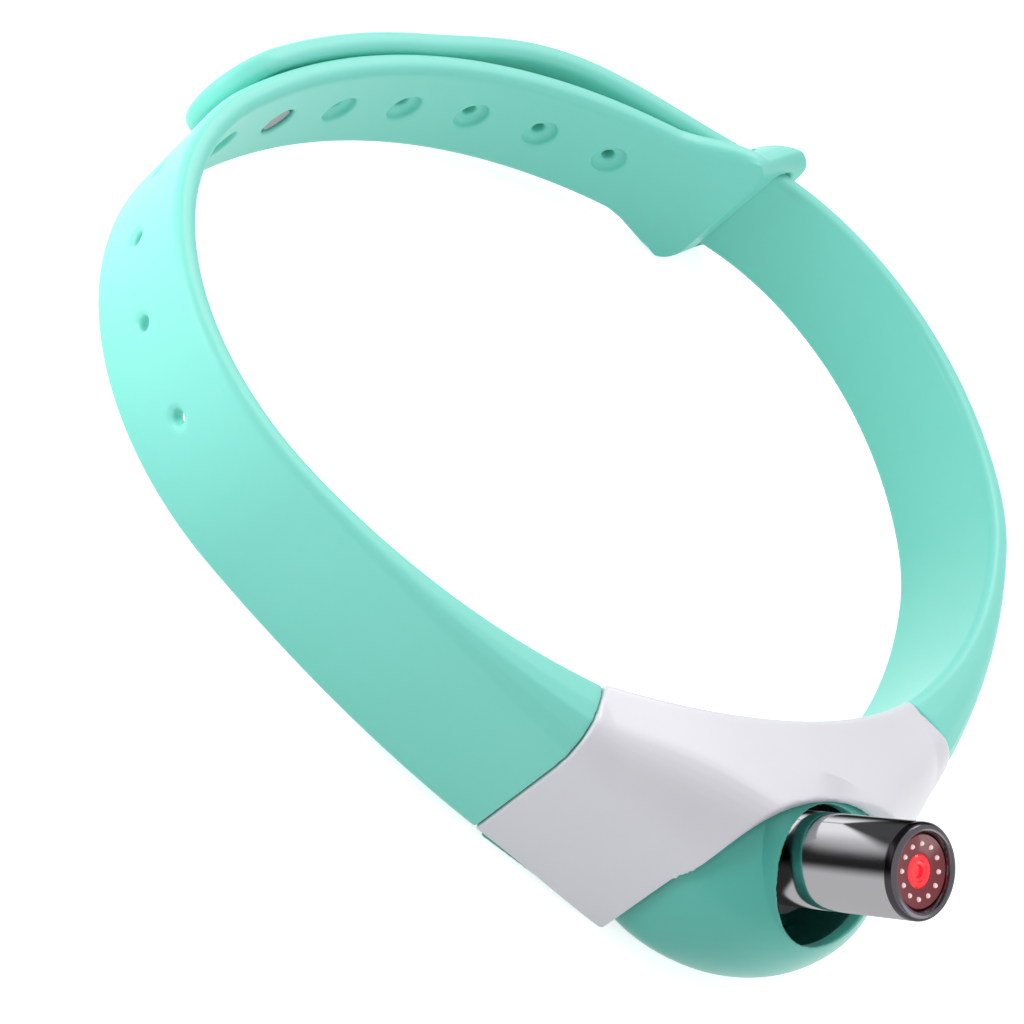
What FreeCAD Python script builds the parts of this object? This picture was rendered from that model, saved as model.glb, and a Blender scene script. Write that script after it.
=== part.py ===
"""Cat collar with a swinging laser pointer.

A silicone strap closes into an oval loop and carries a small pod in front. The pod holds a
motor and a gear train that swing a laser barrel up and down in a round window.

The model is drawn with the origin inside the loop, +Z along the loop's axis and the pod
towards -Y. Before export it is moved so that it stands on z = 0 on its lower edges, centred
over the origin. All lengths are millimetres and all angles degrees.
"""
import FreeCAD, Part
import math
import os

V = FreeCAD.Vector
UP = V(0, 0, 1)

# ------------------------------------------------------------------ loop, inner face
LOOP_HALF_WIDTH = 47.9      # middle of the loop to its widest point
LOOP_FRONT = 45.5           # inner face in front of the origin, behind the pod
LOOP_BACK = 25.9            # inner face behind the origin
SIDE_RADIUS = 27.6          # tight arcs at the two sides
SIDE_CENTRE_Y = -7.0        # their centres, measured along Y

# ------------------------------------------------------------------ silicone strap
STRAP_WIDTH = 12.0
STRAP_THICKNESS = 2.3
STRAP_EDGE = 0.9            # rounding of the strap's long edges
LAYER_GAP = 0.3             # between two layers of strap
THICKNESS_FLARE = 30.0      # over which the strap thickens towards the pod
WIDTH_FLARE = 44.0          # over which it widens
HOLE_COUNT = 11
HOLE_PITCH = 9.05
FIRST_HOLE = 62.9           # from the middle of the pod, along the strap
HOLE_DIAMETER = 1.7
HOLE_RIM = 0.35             # soft edge of the hole on the outer face
RECESS_DIAMETER = 3.5       # wide part of the hole on the inner face
RECESS_DEPTH = 1.2
STUD_HOLE = 5               # the hole in use, counted from 0

# ------------------------------------------------------------------ keeper and tail
KEEPER_START = 164.0        # from the middle of the pod, along the strap
KEEPER_LENGTH = 9.5
KEEPER_SLANT = 5.5          # how much sooner the sleeve ends on the neck side
KEEPER_WIDTH = 16.8
KEEPER_SLOT_WIDTH = 13.8
KEEPER_BAND = 1.3           # thickness of the outer band
KEEPER_FLARE = 11.0         # over which the strap widens to the keeper
KEEPER_EDGE = 1.0           # rounding of the sleeve's corners on the neck side
KEEPER_SHOULDER = 4.0       # and on the outside
KEEPER_TUCK = 0.15          # how much narrower the strap is where it joins the sleeve
TAIL_LIFT_START = 62.0      # where the other strap begins to move outwards
TAIL_TIP = 100.7            # end of the tail, along the strap that it lies on
TAIL_BOW = 1.0              # how far the tail bows out between keeper and stud
FLEX_FROM_STUD = 18.0       # stud to the line about which the tail lifts
FLEX_GAP = 0.3

# ------------------------------------------------------------------ stud
STUD_HEAD_DIAMETER = 2.9
STUD_HEAD_HEIGHT = 0.8
STUD_HEAD_DEPTH = 0.25      # head's face below the strap's inner face
STUD_NECK_DIAMETER = 1.6
STUD_BASE_DIAMETER = 4.6
STUD_BASE_HEIGHT = 0.8

# ------------------------------------------------------------------ pod
POD_HALF_LENGTH = 22.2      # middle of the pod to its seam with the strap, along the strap
POD_HALF_HEIGHT = 7.7
POD_THICKNESS = 7.4         # at the seams
POD_WALL = 1.2
POD_TOP_SEAM = 8.3          # height of the top, on the neck side, at the seams
POD_TOP_MIDDLE = 10.5       # and in the middle
FLANK_ANGLE = 38.6          # of the flat sides, in plan
RIDGE_DROP = 1.2            # ridge of the flank at the seams, below the top
RIDGE_RADIUS = 2.8
SEAM_LEAN = 3.0             # more than the seam leans back on the neck side
SEAM_GAP = 0.2
SHELL_GAP = 0.15            # between the pod's two shells
LIP_THICKNESS = 0.8         # of the cover's edge above the dome
LIP_Y = -54.1               # front of that edge in the middle
LIP_BEND = 4                # power with which it sweeps forward beside the dome
LIP_EDGE = 0.4              # rounding of the edge in the middle
FOOT_EDGE = 0.4             # rounding of the cover's lower edges
NECK_EDGE = 0.8             # and of its top edge on the neck side
JAMB = 0.2                  # from the dome's side to where the flank begins

DOME_CENTRE_Y = -54.0
DOME_CENTRE_Z = 1.2
DOME_HALF_WIDTH = 12.4
DOME_NOSE = 10.5            # centre to the nose
DOME_TOP = 9.6              # centre to the top
DOME_DROP = 11.45           # the same below the centre, where the base cuts it
DOME_OVERLAP = 1.7          # length of dome under the cover's edge
BASE_DROP = 0.7             # how far the base stands below the cover
BASE_THICKNESS = 1.5

# ------------------------------------------------------------------ strap joints
LUG_LENGTH = 4.6
LUG_ROOT = 1.9              # how far the lug starts behind the flank's end
LUG_THICKNESS = 2.8
LUG_WIDTH = 9.0
LUG_GAP = 0.15
STRAP_PIN_DIAMETER = 1.4
STRAP_PIN_LENGTH = 12.0

# ------------------------------------------------------------------ laser barrel
PIVOT_Y = -54.05
PIVOT_Z = 1.5
LASER_TILT = 31.5           # barrel's axis from the vertical, towards the nose
TUBE_DIAMETER = 8.4
TUBE_WALL = 0.8
TUBE_REAR = 3.5             # pivot to the rear end
TUBE_FRONT = 18.2           # pivot to the front end
BEZEL_HEIGHT = 1.0
BEZEL_BORE = 6.0
BEZEL_SPIGOT = 1.5
BEZEL_EDGE = 0.35
MODULE_FRONT = 15.6
MODULE_REAR = 4.6
RING_DIAMETER = 5.9
RING_BORE = 2.9
RING_HEIGHT = 1.3
RING_NOTCHES = 12
RING_NOTCH_DIAMETER = 0.5
LENS_HEIGHT = 1.0
LENS_DIMPLE_DIAMETER = 1.5
LENS_DIMPLE_DEPTH = 0.4
WINDOW_DIAMETER = 12.3
WINDOW_Y = -59.0
WINDOW_Z = 7.1

# ------------------------------------------------------------------ cradle and gears
FIT = 0.01                  # radial play of pieces that are pressed together
RUNNING = 0.05              # radial play of a shaft in its bore
CRADLE_WALL = 0.8
CRADLE_HALF = 3.0
BOSS_DIAMETER = 3.2
BOSS_REACH = 5.3            # pivot centre to the boss's face
TRUNNION_DIAMETER = 1.5
MODULE = 0.25
PRESSURE_ANGLE = 30.0
ADDENDUM = 0.8              # in modules
DEDENDUM = 1.1
BACKLASH = 0.06
SECTOR_TEETH = 36
SECTOR_SPAN = 66.0
SECTOR_SHIFT = 8.0          # the barrel swings further forwards than back
SECTOR_THICKNESS = 1.0
PINION_TEETH = 10
WHEEL_TEETH = 20
WHEEL_THICKNESS = 0.7
MOTOR_TEETH = 8
IDLER_DIRECTION = -45.0     # pivot to idler, from +Y towards +Z
MOTOR_DIRECTION = 64.0      # idler to motor
IDLER_PIN_DIAMETER = 0.8
IDLER_PIN_HEAD = 1.3
IDLER_PIN_HEAD_HEIGHT = 0.3
SIDE_PLAY = 0.3             # between pieces that turn beside each other

# ------------------------------------------------------------------ frame and motor
FRAME_FLOOR = 0.8
PLATE_THICKNESS = 1.0
PLATE_TOP = 3.6
PLATE_FRONT = 2.0           # pivot to the front edge of the side plates
PLATE_BACK = -47.0
MOTOR_DIAMETER = 4.0
MOTOR_LENGTH = 6.5
MOTOR_NOSE_DIAMETER = 1.6
MOTOR_SHAFT_DIAMETER = 0.7
MOTOR_SHAFT_END = 0.2       # how far the shaft stands out of its pinion
MOTOR_SADDLE_LENGTH = 3.0
MOTOR_SADDLE_WIDTH = 3.2
SADDLE_GAP = 1.0            # right plate to saddle

# ------------------------------------------------------------------ electronics
BOARD_Z = -3.6              # underside of the circuit board
BOARD_THICKNESS = 0.8
BOARD_START = 8.2
BOARD_GAP = 0.3
BATTERY_AT = 13.4           # along the strap, from the middle of the pod
BATTERY_LENGTH = 10.6
BATTERY_THICKNESS = 4.0
BATTERY_HEIGHT = 6.0
BATTERY_EDGE = 0.6
SOCKET_AT = 12.6
SOCKET_WIDTH = 6.9
SOCKET_HEIGHT = 2.5
SOCKET_DEPTH = 5.0
SOCKET_WALL = 0.3
SOCKET_TONGUE = 0.6         # thickness of the contact tongue
SOCKET_TONGUE_INSET = 1.2   # behind the mouth
PLUG_WIDTH = 9.4
PLUG_HEIGHT = 4.2
PLUG_THICKNESS = 0.8
PLUG_TONGUE = 0.5
BUTTON_AT = 17.6
BUTTON_OFFSET = 2.9         # from the strap's middle line, outwards
BUTTON_DIAMETER = 3.2
BUTTON_FLANGE = 4.0
BUTTON_FLANGE_HEIGHT = 0.5
BUTTON_TRAVEL = 0.25
BUTTON_INSET = 0.2          # face of the button above the base's face
SWITCH_SIZE = 2.6
SWITCH_HEIGHT = 1.5
SWITCH_KEY_HEIGHT = 0.3     # how far the key stands out of the switch
PIPE_X = -18.25
PIPE_Y = -49.4
PIPE_DIAMETER = 1.2
LED_SIZE = 1.0
LED_HEIGHT = 0.5
POST_DIAMETER = 1.2
POST_ROOT = 0.2             # depth of a post's foot in the base
POSTS = ((-8.9, -48.6), (-16.3, -49.9))
CHIP_SIZE = 1.6
CHIP_HEIGHT = 0.8
CHIP_AT = (-17.6, -49.5)

# ------------------------------------------------------------------ screws and leads
SCREW_DIAMETER = 1.4
SCREW_HEAD = 2.4
SCREW_HEAD_HEIGHT = 0.8
SCREW_LENGTH = 6.0
SCREW_BOSS = 2.8
SCREW_INSET = 0.1           # head's face above the base's face
SCREW_SLOT_DEPTH = 0.4
SCREW_SLOT_LENGTH = 0.6     # arms of the cross, as a share of the head's diameter
SCREW_SLOT_WIDTH = 0.15
COVER_SCREWS = ((-14.2, -52.2), (14.2, -52.2), (18.6, -46.8))
FRAME_SCREWS = ((-3.2, -48.6), (3.2, -48.6))
FRAME_SCREW_DIAMETER = 1.0
FRAME_SCREW_HEAD = 1.8
FRAME_SCREW_HEAD_HEIGHT = 0.6
FRAME_SCREW_LENGTH = 1.9
LEAD_DIAMETER = 0.5
LEAD_PITCH = 0.75
LEAD_START = 0.3            # behind the laser module, which moves
LEAD_BEND = 0.45            # arc at a turn, as a share of the shorter straight run
LASER_PAD = (-9.2, -51.4)
LASER_LEAD_Y = -50.9        # where the laser's leads turn towards the board
LASER_LEAD_LIFT = 1.5       # above the frame's floor
MOTOR_PAD = (-10.3, -51.3)
MOTOR_LEAD_REACH = 1.0      # behind the motor
MOTOR_LEAD_LIFT = 0.8       # above the frame's plates
MOTOR_LEAD_X = -4.0         # where the motor's leads turn towards the board
MOTOR_LEAD_Y = -47.7
BATTERY_PAD = (-8.7, -51.3)
BATTERY_LEAD_OFFSET = 3.2
BATTERY_LEAD_Z = -0.5
BATTERY_LEAD_PITCH = 0.9
BATTERY_LEAD_X = -7.7       # where the battery's leads turn towards the board

# ------------------------------------------------------------------ worked out from the above


def joined_radius(reach):
    """Radius of the front or back arc that runs smoothly into the side arcs."""
    return (SIDE_CENTRE_X ** 2 + reach ** 2 - SIDE_RADIUS ** 2) / (2 * (reach - SIDE_RADIUS))


HALF_STRAP = STRAP_THICKNESS / 2
SIDE_CENTRE_X = LOOP_HALF_WIDTH - SIDE_RADIUS
FRONT_RADIUS = joined_radius(SIDE_CENTRE_Y + LOOP_FRONT)
BACK_RADIUS = joined_radius(LOOP_BACK - SIDE_CENTRE_Y)
FRONT_CENTRE_Y = FRONT_RADIUS - LOOP_FRONT
BACK_CENTRE_Y = LOOP_BACK - BACK_RADIUS
FRONT_TURN = math.atan2(SIDE_CENTRE_X, FRONT_CENTRE_Y - SIDE_CENTRE_Y)
BACK_TURN = math.pi - math.atan2(SIDE_CENTRE_X, SIDE_CENTRE_Y - BACK_CENTRE_Y)
FRONT_RUN = (FRONT_RADIUS + HALF_STRAP) * FRONT_TURN
SIDE_RUN = FRONT_RUN + (SIDE_RADIUS + HALF_STRAP) * (BACK_TURN - FRONT_TURN)
HALF_RUN = SIDE_RUN + (BACK_RADIUS + HALF_STRAP) * (math.pi - BACK_TURN)

KEEPER_END = KEEPER_START + KEEPER_LENGTH
TAIL_OFFSET = STRAP_THICKNESS + LAYER_GAP
STUD_AT = FIRST_HOLE + STUD_HOLE * HOLE_PITCH
FLEX_AT = STUD_AT + FLEX_FROM_STUD
DOOR_X = DOME_HALF_WIDTH + JAMB
BASE_BOTTOM = -POD_HALF_HEIGHT - BASE_DROP
BASE_TOP = BASE_BOTTOM + BASE_THICKNESS
FLOOR_TOP = BASE_TOP + FRAME_FLOOR
WALL_OFFSET = POD_WALL - HALF_STRAP             # inner side of the pod's neck wall
SECTOR_X = BOSS_REACH
WHEEL_X = SECTOR_X + SECTOR_THICKNESS + SIDE_PLAY
PLATE_X = WHEEL_X + WHEEL_THICKNESS + SIDE_PLAY
PLATE_OUT = PLATE_X + PLATE_THICKNESS
IDLER_DISTANCE = MODULE * (SECTOR_TEETH + PINION_TEETH) / 2
MOTOR_DISTANCE = MODULE * (WHEEL_TEETH + MOTOR_TEETH) / 2
IDLER_Y = PIVOT_Y + IDLER_DISTANCE * math.cos(math.radians(IDLER_DIRECTION))
IDLER_Z = PIVOT_Z + IDLER_DISTANCE * math.sin(math.radians(IDLER_DIRECTION))
MOTOR_Y = IDLER_Y + MOTOR_DISTANCE * math.cos(math.radians(MOTOR_DIRECTION))
MOTOR_Z = IDLER_Z + MOTOR_DISTANCE * math.sin(math.radians(MOTOR_DIRECTION))
BOARD_TOP = BOARD_Z + BOARD_THICKNESS


# ------------------------------------------------------------------ path of the strap
def loop_frame(run):
    """Point on the strap's middle line and its outward normal, run mm from the pod's middle.

    Positive runs go round the +X side and negative ones round the -X side; a run longer
    than half the loop carries on past the back.
    """
    side = 1 if run >= 0 else -1
    run = abs(run)
    if run > HALF_RUN:
        run = 2 * HALF_RUN - run
        side = -side
    if run < FRONT_RUN:
        radius = FRONT_RADIUS + HALF_STRAP
        turn = run / radius
        centre = V(0, FRONT_CENTRE_Y, 0)
    elif run < SIDE_RUN:
        radius = SIDE_RADIUS + HALF_STRAP
        turn = FRONT_TURN + (run - FRONT_RUN) / radius
        centre = V(SIDE_CENTRE_X, SIDE_CENTRE_Y, 0)
    else:
        radius = BACK_RADIUS + HALF_STRAP
        turn = BACK_TURN + (run - SIDE_RUN) / radius
        centre = V(0, BACK_CENTRE_Y, 0)
    normal = V(math.sin(turn), -math.cos(turn), 0)
    point = centre + normal * radius
    return V(side * point.x, point.y, 0), V(side * normal.x, normal.y, 0)


def at_loop(run, offset=0.0, z=0.0):
    """Point offset outwards from the middle line and z above the loop's middle plane."""
    point, normal = loop_frame(run)
    return point + normal * offset + UP * z


def smooth(value, start, end):
    """0 before start, 1 after end and an even S curve between them."""
    part = min(1.0, max(0.0, (value - start) / (end - start)))
    return part * part * (3 - 2 * part)


def spaced(start, end, count):
    """count + 1 evenly spaced values from start to end."""
    return [start + (end - start) * i / count for i in range(count + 1)]


# ------------------------------------------------------------------ shape helpers
def rounded_wire(corners, place):
    """Closed wire through (u, v, radius) corners with arcs; place turns (u, v) into a point."""
    flat = [V(u, v, 0) for u, v, radius in corners]
    arcs = []
    for i, (u, v, radius) in enumerate(corners):
        back = (flat[i - 1] - flat[i]).normalize()
        ahead = (flat[(i + 1) % len(flat)] - flat[i]).normalize()
        half = back.getAngle(ahead) / 2
        middle = (back + ahead).normalize()
        reach = radius / math.tan(half)
        centre = flat[i] + middle * (radius / math.sin(half))
        arcs.append((flat[i] + back * reach, centre - middle * radius, flat[i] + ahead * reach))
    edges = []
    for i, (start, middle, end) in enumerate(arcs):
        points = [place(p.x, p.y) for p in (start, middle, end)]
        edges.append(Part.Arc(*points).toShape())
        following = arcs[(i + 1) % len(arcs)][0]
        edges.append(Part.LineSegment(points[2], place(following.x, following.y)).toShape())
    return Part.Wire(edges)


def strap_section(run, low, high, half_width, edge):
    """Rounded rectangle across the strap, between two offsets from the middle line."""
    corners = [(low, -half_width, edge), (high, -half_width, edge),
               (high, half_width, edge), (low, half_width, edge)]
    return rounded_wire(corners, lambda offset, z: at_loop(run, offset, z))


def loft(wires):
    """Closed solid through a row of section wires."""
    return Part.makeLoft(wires, True, False)


def block(run, ahead, low, high, z_low, z_high):
    """Box square to the strap at run; ahead is its extent along the strap, (start, end)."""
    point, normal = loop_frame(run)
    along = UP.cross(normal)
    corners = [point + along * a + normal * n + UP * z_low
               for a, n in ((ahead[0], low), (ahead[1], low), (ahead[1], high), (ahead[0], high))]
    face = Part.Face(Part.makePolygon(corners + corners[:1]))
    return face.extrude(UP * (z_high - z_low))


def pillar(x, y, diameter, z_low, z_high):
    """Upright cylinder."""
    return Part.makeCylinder(diameter / 2, z_high - z_low, V(x, y, z_low))


def radial_pin(run, diameter, low, high):
    """Cylinder that stands through the strap, between two offsets."""
    normal = loop_frame(run)[1]
    return Part.makeCylinder(diameter / 2, high - low, at_loop(run, low), normal)


def cross_pin(y, z, diameter, x_low, x_high):
    """Cylinder along X."""
    return Part.makeCylinder(diameter / 2, x_high - x_low, V(x_low, y, z), V(1, 0, 0))


def tube(diameter, bore, low, high):
    """Ring about the Z axis."""
    ring = Part.makeCylinder(diameter / 2, high - low, V(0, 0, low))
    return ring.cut(Part.makeCylinder(bore / 2, high - low, V(0, 0, low)))


def on_laser_axis(shape):
    """Turns a shape drawn about +Z at the origin onto the laser's axis at the pivot."""
    shape = shape.copy()
    shape.rotate(V(0, 0, 0), V(1, 0, 0), LASER_TILT)
    shape.translate(V(0, PIVOT_Y, PIVOT_Z))
    return shape


def across(shape, x, y, z):
    """Turns a shape drawn in XY, with its axis on Z, so that the axis runs along X."""
    shape = shape.copy()
    shape.rotate(V(0, 0, 0), V(1, 1, 1), 120)
    shape.translate(V(x, y, z))
    return shape


def mirrored(shape):
    """The same shape on the other side of the loop."""
    return shape.mirror(V(0, 0, 0), V(1, 0, 0))


# ------------------------------------------------------------------ straps
def thickened(run):
    """Share of the growth in thickness: 1 at the pod's seam, fading to 0 along the strap."""
    return max(0.0, 1 - max(0.0, abs(run) - POD_HALF_LENGTH) / THICKNESS_FLARE) ** 2


def widened(run):
    """Share of the growth in width, from 1 at the pod's seam."""
    return math.exp(-(max(0.0, abs(run) - POD_HALF_LENGTH) / WIDTH_FLARE) ** 2)


def end_section(run, lift=0.0, half_width=STRAP_WIDTH / 2):
    """Strap section that grows in thickness and width towards the pod."""
    grown = thickened(run)
    low = -half_width - (POD_HALF_HEIGHT - STRAP_WIDTH / 2) * widened(run)
    top = half_width + (POD_TOP_SEAM - STRAP_WIDTH / 2) * widened(run)
    outer = HALF_STRAP + (POD_THICKNESS - STRAP_THICKNESS) * grown + lift
    inner = lift - HALF_STRAP
    edge = STRAP_EDGE + (RIDGE_RADIUS - STRAP_EDGE) * grown
    corners = [(inner, low, STRAP_EDGE), (outer, low, STRAP_EDGE),
               (outer, top - RIDGE_DROP * grown, edge), (inner, top, STRAP_EDGE)]
    return rounded_wire(corners, lambda offset, z: at_loop(run, offset, z))


def seam_block(start, end):
    """Box square to the pod's right flank, from start to end along it, measured from the seam."""
    corner = at_loop(POD_HALF_LENGTH, POD_THICKNESS - HALF_STRAP)
    turn = math.radians(FLANK_ANGLE)
    along = V(math.cos(turn), math.sin(turn), 0)
    inward = UP.cross(along)
    size = 3 * POD_THICKNESS
    corners = [corner + along * a + inward * b
               for a, b in ((start, -size), (end, -size), (end, size), (start, size))]
    face = Part.Face(Part.makePolygon(corners + corners[:1]))
    face.translate(UP * -size)
    return face.extrude(UP * 2 * size)


def lug_space(gap):
    """Lug on the pod's right end; a gap above 0 gives the pocket that it fits."""
    low = (POD_THICKNESS - LUG_THICKNESS) / 2 - HALF_STRAP
    ahead = (-LUG_ROOT, LUG_LENGTH + gap)
    half = LUG_WIDTH / 2 + gap
    return block(POD_HALF_LENGTH, ahead, low - gap, low + LUG_THICKNESS + gap, -half, half)


def strap_pin(play=0.0):
    """Dowel through the right strap's end and the lug."""
    point, normal = loop_frame(POD_HALF_LENGTH)
    middle = point + UP.cross(normal) * (LUG_LENGTH / 2) + normal * (POD_THICKNESS / 2 - HALF_STRAP)
    half = STRAP_PIN_LENGTH / 2 + play
    return pillar(middle.x, middle.y, STRAP_PIN_DIAMETER + 2 * play, -half, half)


def strap_hole(index):
    """One hole of the row, wide on the neck side; the one in use is stretched by the stud."""
    run = -(FIRST_HOLE + index * HOLE_PITCH)
    recess = radial_pin(run, RECESS_DIAMETER, -HALF_STRAP - 1, -HALF_STRAP + RECESS_DEPTH)
    if index == STUD_HOLE:
        return recess.fuse(radial_pin(run, RECESS_DIAMETER, -HALF_STRAP, HALF_STRAP + 1))
    through = radial_pin(run, HOLE_DIAMETER, -HALF_STRAP, HALF_STRAP + 1)
    normal = loop_frame(run)[1]
    rim = Part.makeCone(HOLE_DIAMETER / 2, HOLE_DIAMETER / 2 + 2 * HOLE_RIM, 2 * HOLE_RIM,
                        at_loop(run, HALF_STRAP - HOLE_RIM), normal)
    return recess.fuse([through, rim])


def keeper_sleeve():
    """Flat sleeve at the end of the left strap, open along the strap."""
    high = TAIL_OFFSET + HALF_STRAP + LAYER_GAP + KEEPER_BAND
    half = KEEPER_WIDTH / 2
    corners = [(-HALF_STRAP, -half, KEEPER_EDGE), (high, -half, KEEPER_SHOULDER),
               (high, half, KEEPER_SHOULDER), (-HALF_STRAP, half, KEEPER_EDGE)]
    sleeve = loft([rounded_wire(corners, lambda offset, z: at_loop(run, offset, z))
                   for run in spaced(-KEEPER_START, -KEEPER_END, 3)])
    return sleeve.cut(keeper_slant(high))


def keeper_slant(high):
    """Wedge that leaves the sleeve shorter on the neck side than at its outer face, high."""
    point, normal = loop_frame(-KEEPER_END)
    along = UP.cross(normal) * -1
    low = -HALF_STRAP
    slope = KEEPER_SLANT / (high - low)
    below, above = low - STRAP_THICKNESS, high + STRAP_THICKNESS
    corners = [point + normal * below - along * (slope * (high - below)),
               point + normal * below + along * KEEPER_LENGTH,
               point + normal * above + along * (slope * (above - high))]
    wedge = Part.Face(Part.makePolygon(corners + corners[:1]))
    wedge.translate(UP * -KEEPER_WIDTH)
    return wedge.extrude(UP * 2 * KEEPER_WIDTH)


def keeper_slot():
    """Space inside the sleeve, which the other strap passes through."""
    runs = spaced(-KEEPER_START + 1, -KEEPER_END - 1, 3)
    return loft([strap_section(run, HALF_STRAP, TAIL_OFFSET + HALF_STRAP + LAYER_GAP,
                               KEEPER_SLOT_WIDTH / 2, STRAP_EDGE) for run in runs])


def left_strap():
    """Strap with the row of holes, from the pod round to its keeper."""
    runs = spaced(-POD_HALF_LENGTH + SEAM_LEAN, -KEEPER_START + KEEPER_FLARE, 12)
    sections = [end_section(run) for run in runs]
    for run in spaced(-KEEPER_START + KEEPER_FLARE, -KEEPER_START - 1, 5)[1:]:
        grown = smooth(-run, KEEPER_START - KEEPER_FLARE, KEEPER_START + 1)
        half = STRAP_WIDTH / 2 + ((KEEPER_WIDTH - STRAP_WIDTH) / 2 - KEEPER_TUCK) * grown
        sections.append(end_section(run, 0.0, half))
    strap = loft(sections).fuse(keeper_sleeve()).cut(keeper_slot())
    joint = [lug_space(LUG_GAP), strap_pin(FIT), seam_block(-3 * POD_THICKNESS, SEAM_GAP)]
    holes = [strap_hole(i) for i in range(HOLE_COUNT)]
    return strap.cut(holes + [mirrored(tool) for tool in joint])


def lift(run):
    """Offset of the right strap, which moves outwards to pass through the keeper."""
    end = 2 * HALF_RUN - KEEPER_END
    bow_start = 2 * HALF_RUN - KEEPER_START
    bow_end = 2 * HALF_RUN - FLEX_AT
    bow = 0.0
    if bow_start < run < bow_end:
        bow = TAIL_BOW * math.sin(math.pi * (run - bow_start) / (bow_end - bow_start)) ** 2
    return TAIL_OFFSET * smooth(run, TAIL_LIFT_START, end) + bow


def flex_point():
    """Middle of the strap on the line about which the tail lifts."""
    return at_loop(-FLEX_AT, TAIL_OFFSET)


def right_strap():
    """Plain strap from the pod, through the keeper, to the flex line of its tail."""
    end = 2 * HALF_RUN - FLEX_AT
    sections = [end_section(run, lift(run)) for run in spaced(POD_HALF_LENGTH - SEAM_LEAN, end, 24)]
    hinge = flex_point()
    knuckle = pillar(hinge.x, hinge.y, STRAP_THICKNESS + 2 * FLEX_GAP, -STRAP_WIDTH, STRAP_WIDTH)
    pod_side = seam_block(-3 * POD_THICKNESS, SEAM_GAP)
    return loft(sections).cut([knuckle, lug_space(LUG_GAP), strap_pin(FIT), pod_side])


def tail_tip():
    """What is taken off the tail's end to leave it round."""
    run = -TAIL_TIP - STRAP_WIDTH / 2
    low = TAIL_OFFSET - STRAP_THICKNESS
    high = TAIL_OFFSET + STRAP_THICKNESS
    corner = block(run, (0, STRAP_WIDTH), low, high, -STRAP_WIDTH, STRAP_WIDTH)
    return corner.cut(radial_pin(run, STRAP_WIDTH, low, high))


def strap_tail():
    """Free end of the right strap, which carries the stud and lifts about the flex line."""
    runs = spaced(-FLEX_AT, -TAIL_TIP, 5)
    slab = loft([strap_section(run, TAIL_OFFSET - HALF_STRAP, TAIL_OFFSET + HALF_STRAP,
                               STRAP_WIDTH / 2, STRAP_EDGE) for run in runs])
    hinge = flex_point()
    knuckle = pillar(hinge.x, hinge.y, STRAP_THICKNESS, -STRAP_WIDTH / 2, STRAP_WIDTH / 2)
    knuckle = knuckle.makeFillet(STRAP_EDGE, [e for e in knuckle.Edges if e.Length > STRAP_THICKNESS
                                              and e.BoundBox.ZLength < 0.1])
    tail = slab.cut(tail_tip()).fuse(knuckle)
    outer = TAIL_OFFSET + HALF_STRAP
    hole = radial_pin(-STUD_AT, STUD_NECK_DIAMETER + 2 * FIT, 0, outer + 1)
    seat = radial_pin(-STUD_AT, STUD_BASE_DIAMETER + 2 * FIT, outer - STUD_BASE_HEIGHT, outer + 1)
    return tail.cut([hole, seat])


def stud():
    """Metal stud riveted to the tail, with its head in the strap's hole."""
    face = -HALF_STRAP + STUD_HEAD_DEPTH
    outer = TAIL_OFFSET + HALF_STRAP
    head = radial_pin(-STUD_AT, STUD_HEAD_DIAMETER, face, face + STUD_HEAD_HEIGHT)
    neck = radial_pin(-STUD_AT, STUD_NECK_DIAMETER, face, outer - STUD_BASE_HEIGHT / 2)
    base = radial_pin(-STUD_AT, STUD_BASE_DIAMETER, outer - STUD_BASE_HEIGHT, outer)
    return head.fuse([neck, base])


# ------------------------------------------------------------------ pod shells
def flank_y(x):
    """Y of the pod's flat side at x."""
    corner = at_loop(POD_HALF_LENGTH, POD_THICKNESS - HALF_STRAP)
    return corner.y - (corner.x - abs(x)) * math.tan(math.radians(FLANK_ANGLE))


def neck_y(x, inset):
    """Y of the pod's curved neck side at x."""
    return FRONT_CENTRE_Y - math.sqrt((FRONT_RADIUS + inset) ** 2 - x * x)


def lip_point(x):
    """Y and z of the cover's edge over the dome at x, and how far it has swept forward, 0 to 1."""
    sweep = (abs(x) / DOOR_X) ** LIP_BEND
    share = math.sqrt(1 - (x / (DOME_HALF_WIDTH + LIP_THICKNESS)) ** 2)
    z = DOME_CENTRE_Z + (DOME_TOP + LIP_THICKNESS) * share
    return LIP_Y + (flank_y(DOOR_X) - LIP_Y) * sweep, z, sweep


def pod_section(x, inset):
    """Section of the cover across X: neck wall, top, lip or in the wings flank, lower edge."""
    seam_x = at_loop(POD_HALF_LENGTH).x
    top = POD_TOP_MIDDLE - (POD_TOP_MIDDLE - POD_TOP_SEAM) * (x / seam_x) ** 2
    if abs(x) <= DOOR_X:
        front, ridge, sweep = lip_point(x)
        edge = LIP_EDGE + (RIDGE_RADIUS - LIP_EDGE) * sweep
    else:
        front = flank_y(x)
        edge = RIDGE_RADIUS
        start = lip_point(DOOR_X)[1]
        ridge = start + (POD_TOP_SEAM - RIDGE_DROP - start) * (abs(x) - DOOR_X) / (seam_x - DOOR_X)
    low = -POD_HALF_HEIGHT - inset
    front += inset / math.cos(math.radians(FLANK_ANGLE))
    corners = [(neck_y(x, inset), low, FOOT_EDGE), (front, low, FOOT_EDGE),
               (front, ridge - inset, edge), (neck_y(x, inset), top - inset, NECK_EDGE)]
    return rounded_wire(corners, lambda y, z: V(x, y, z))


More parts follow.
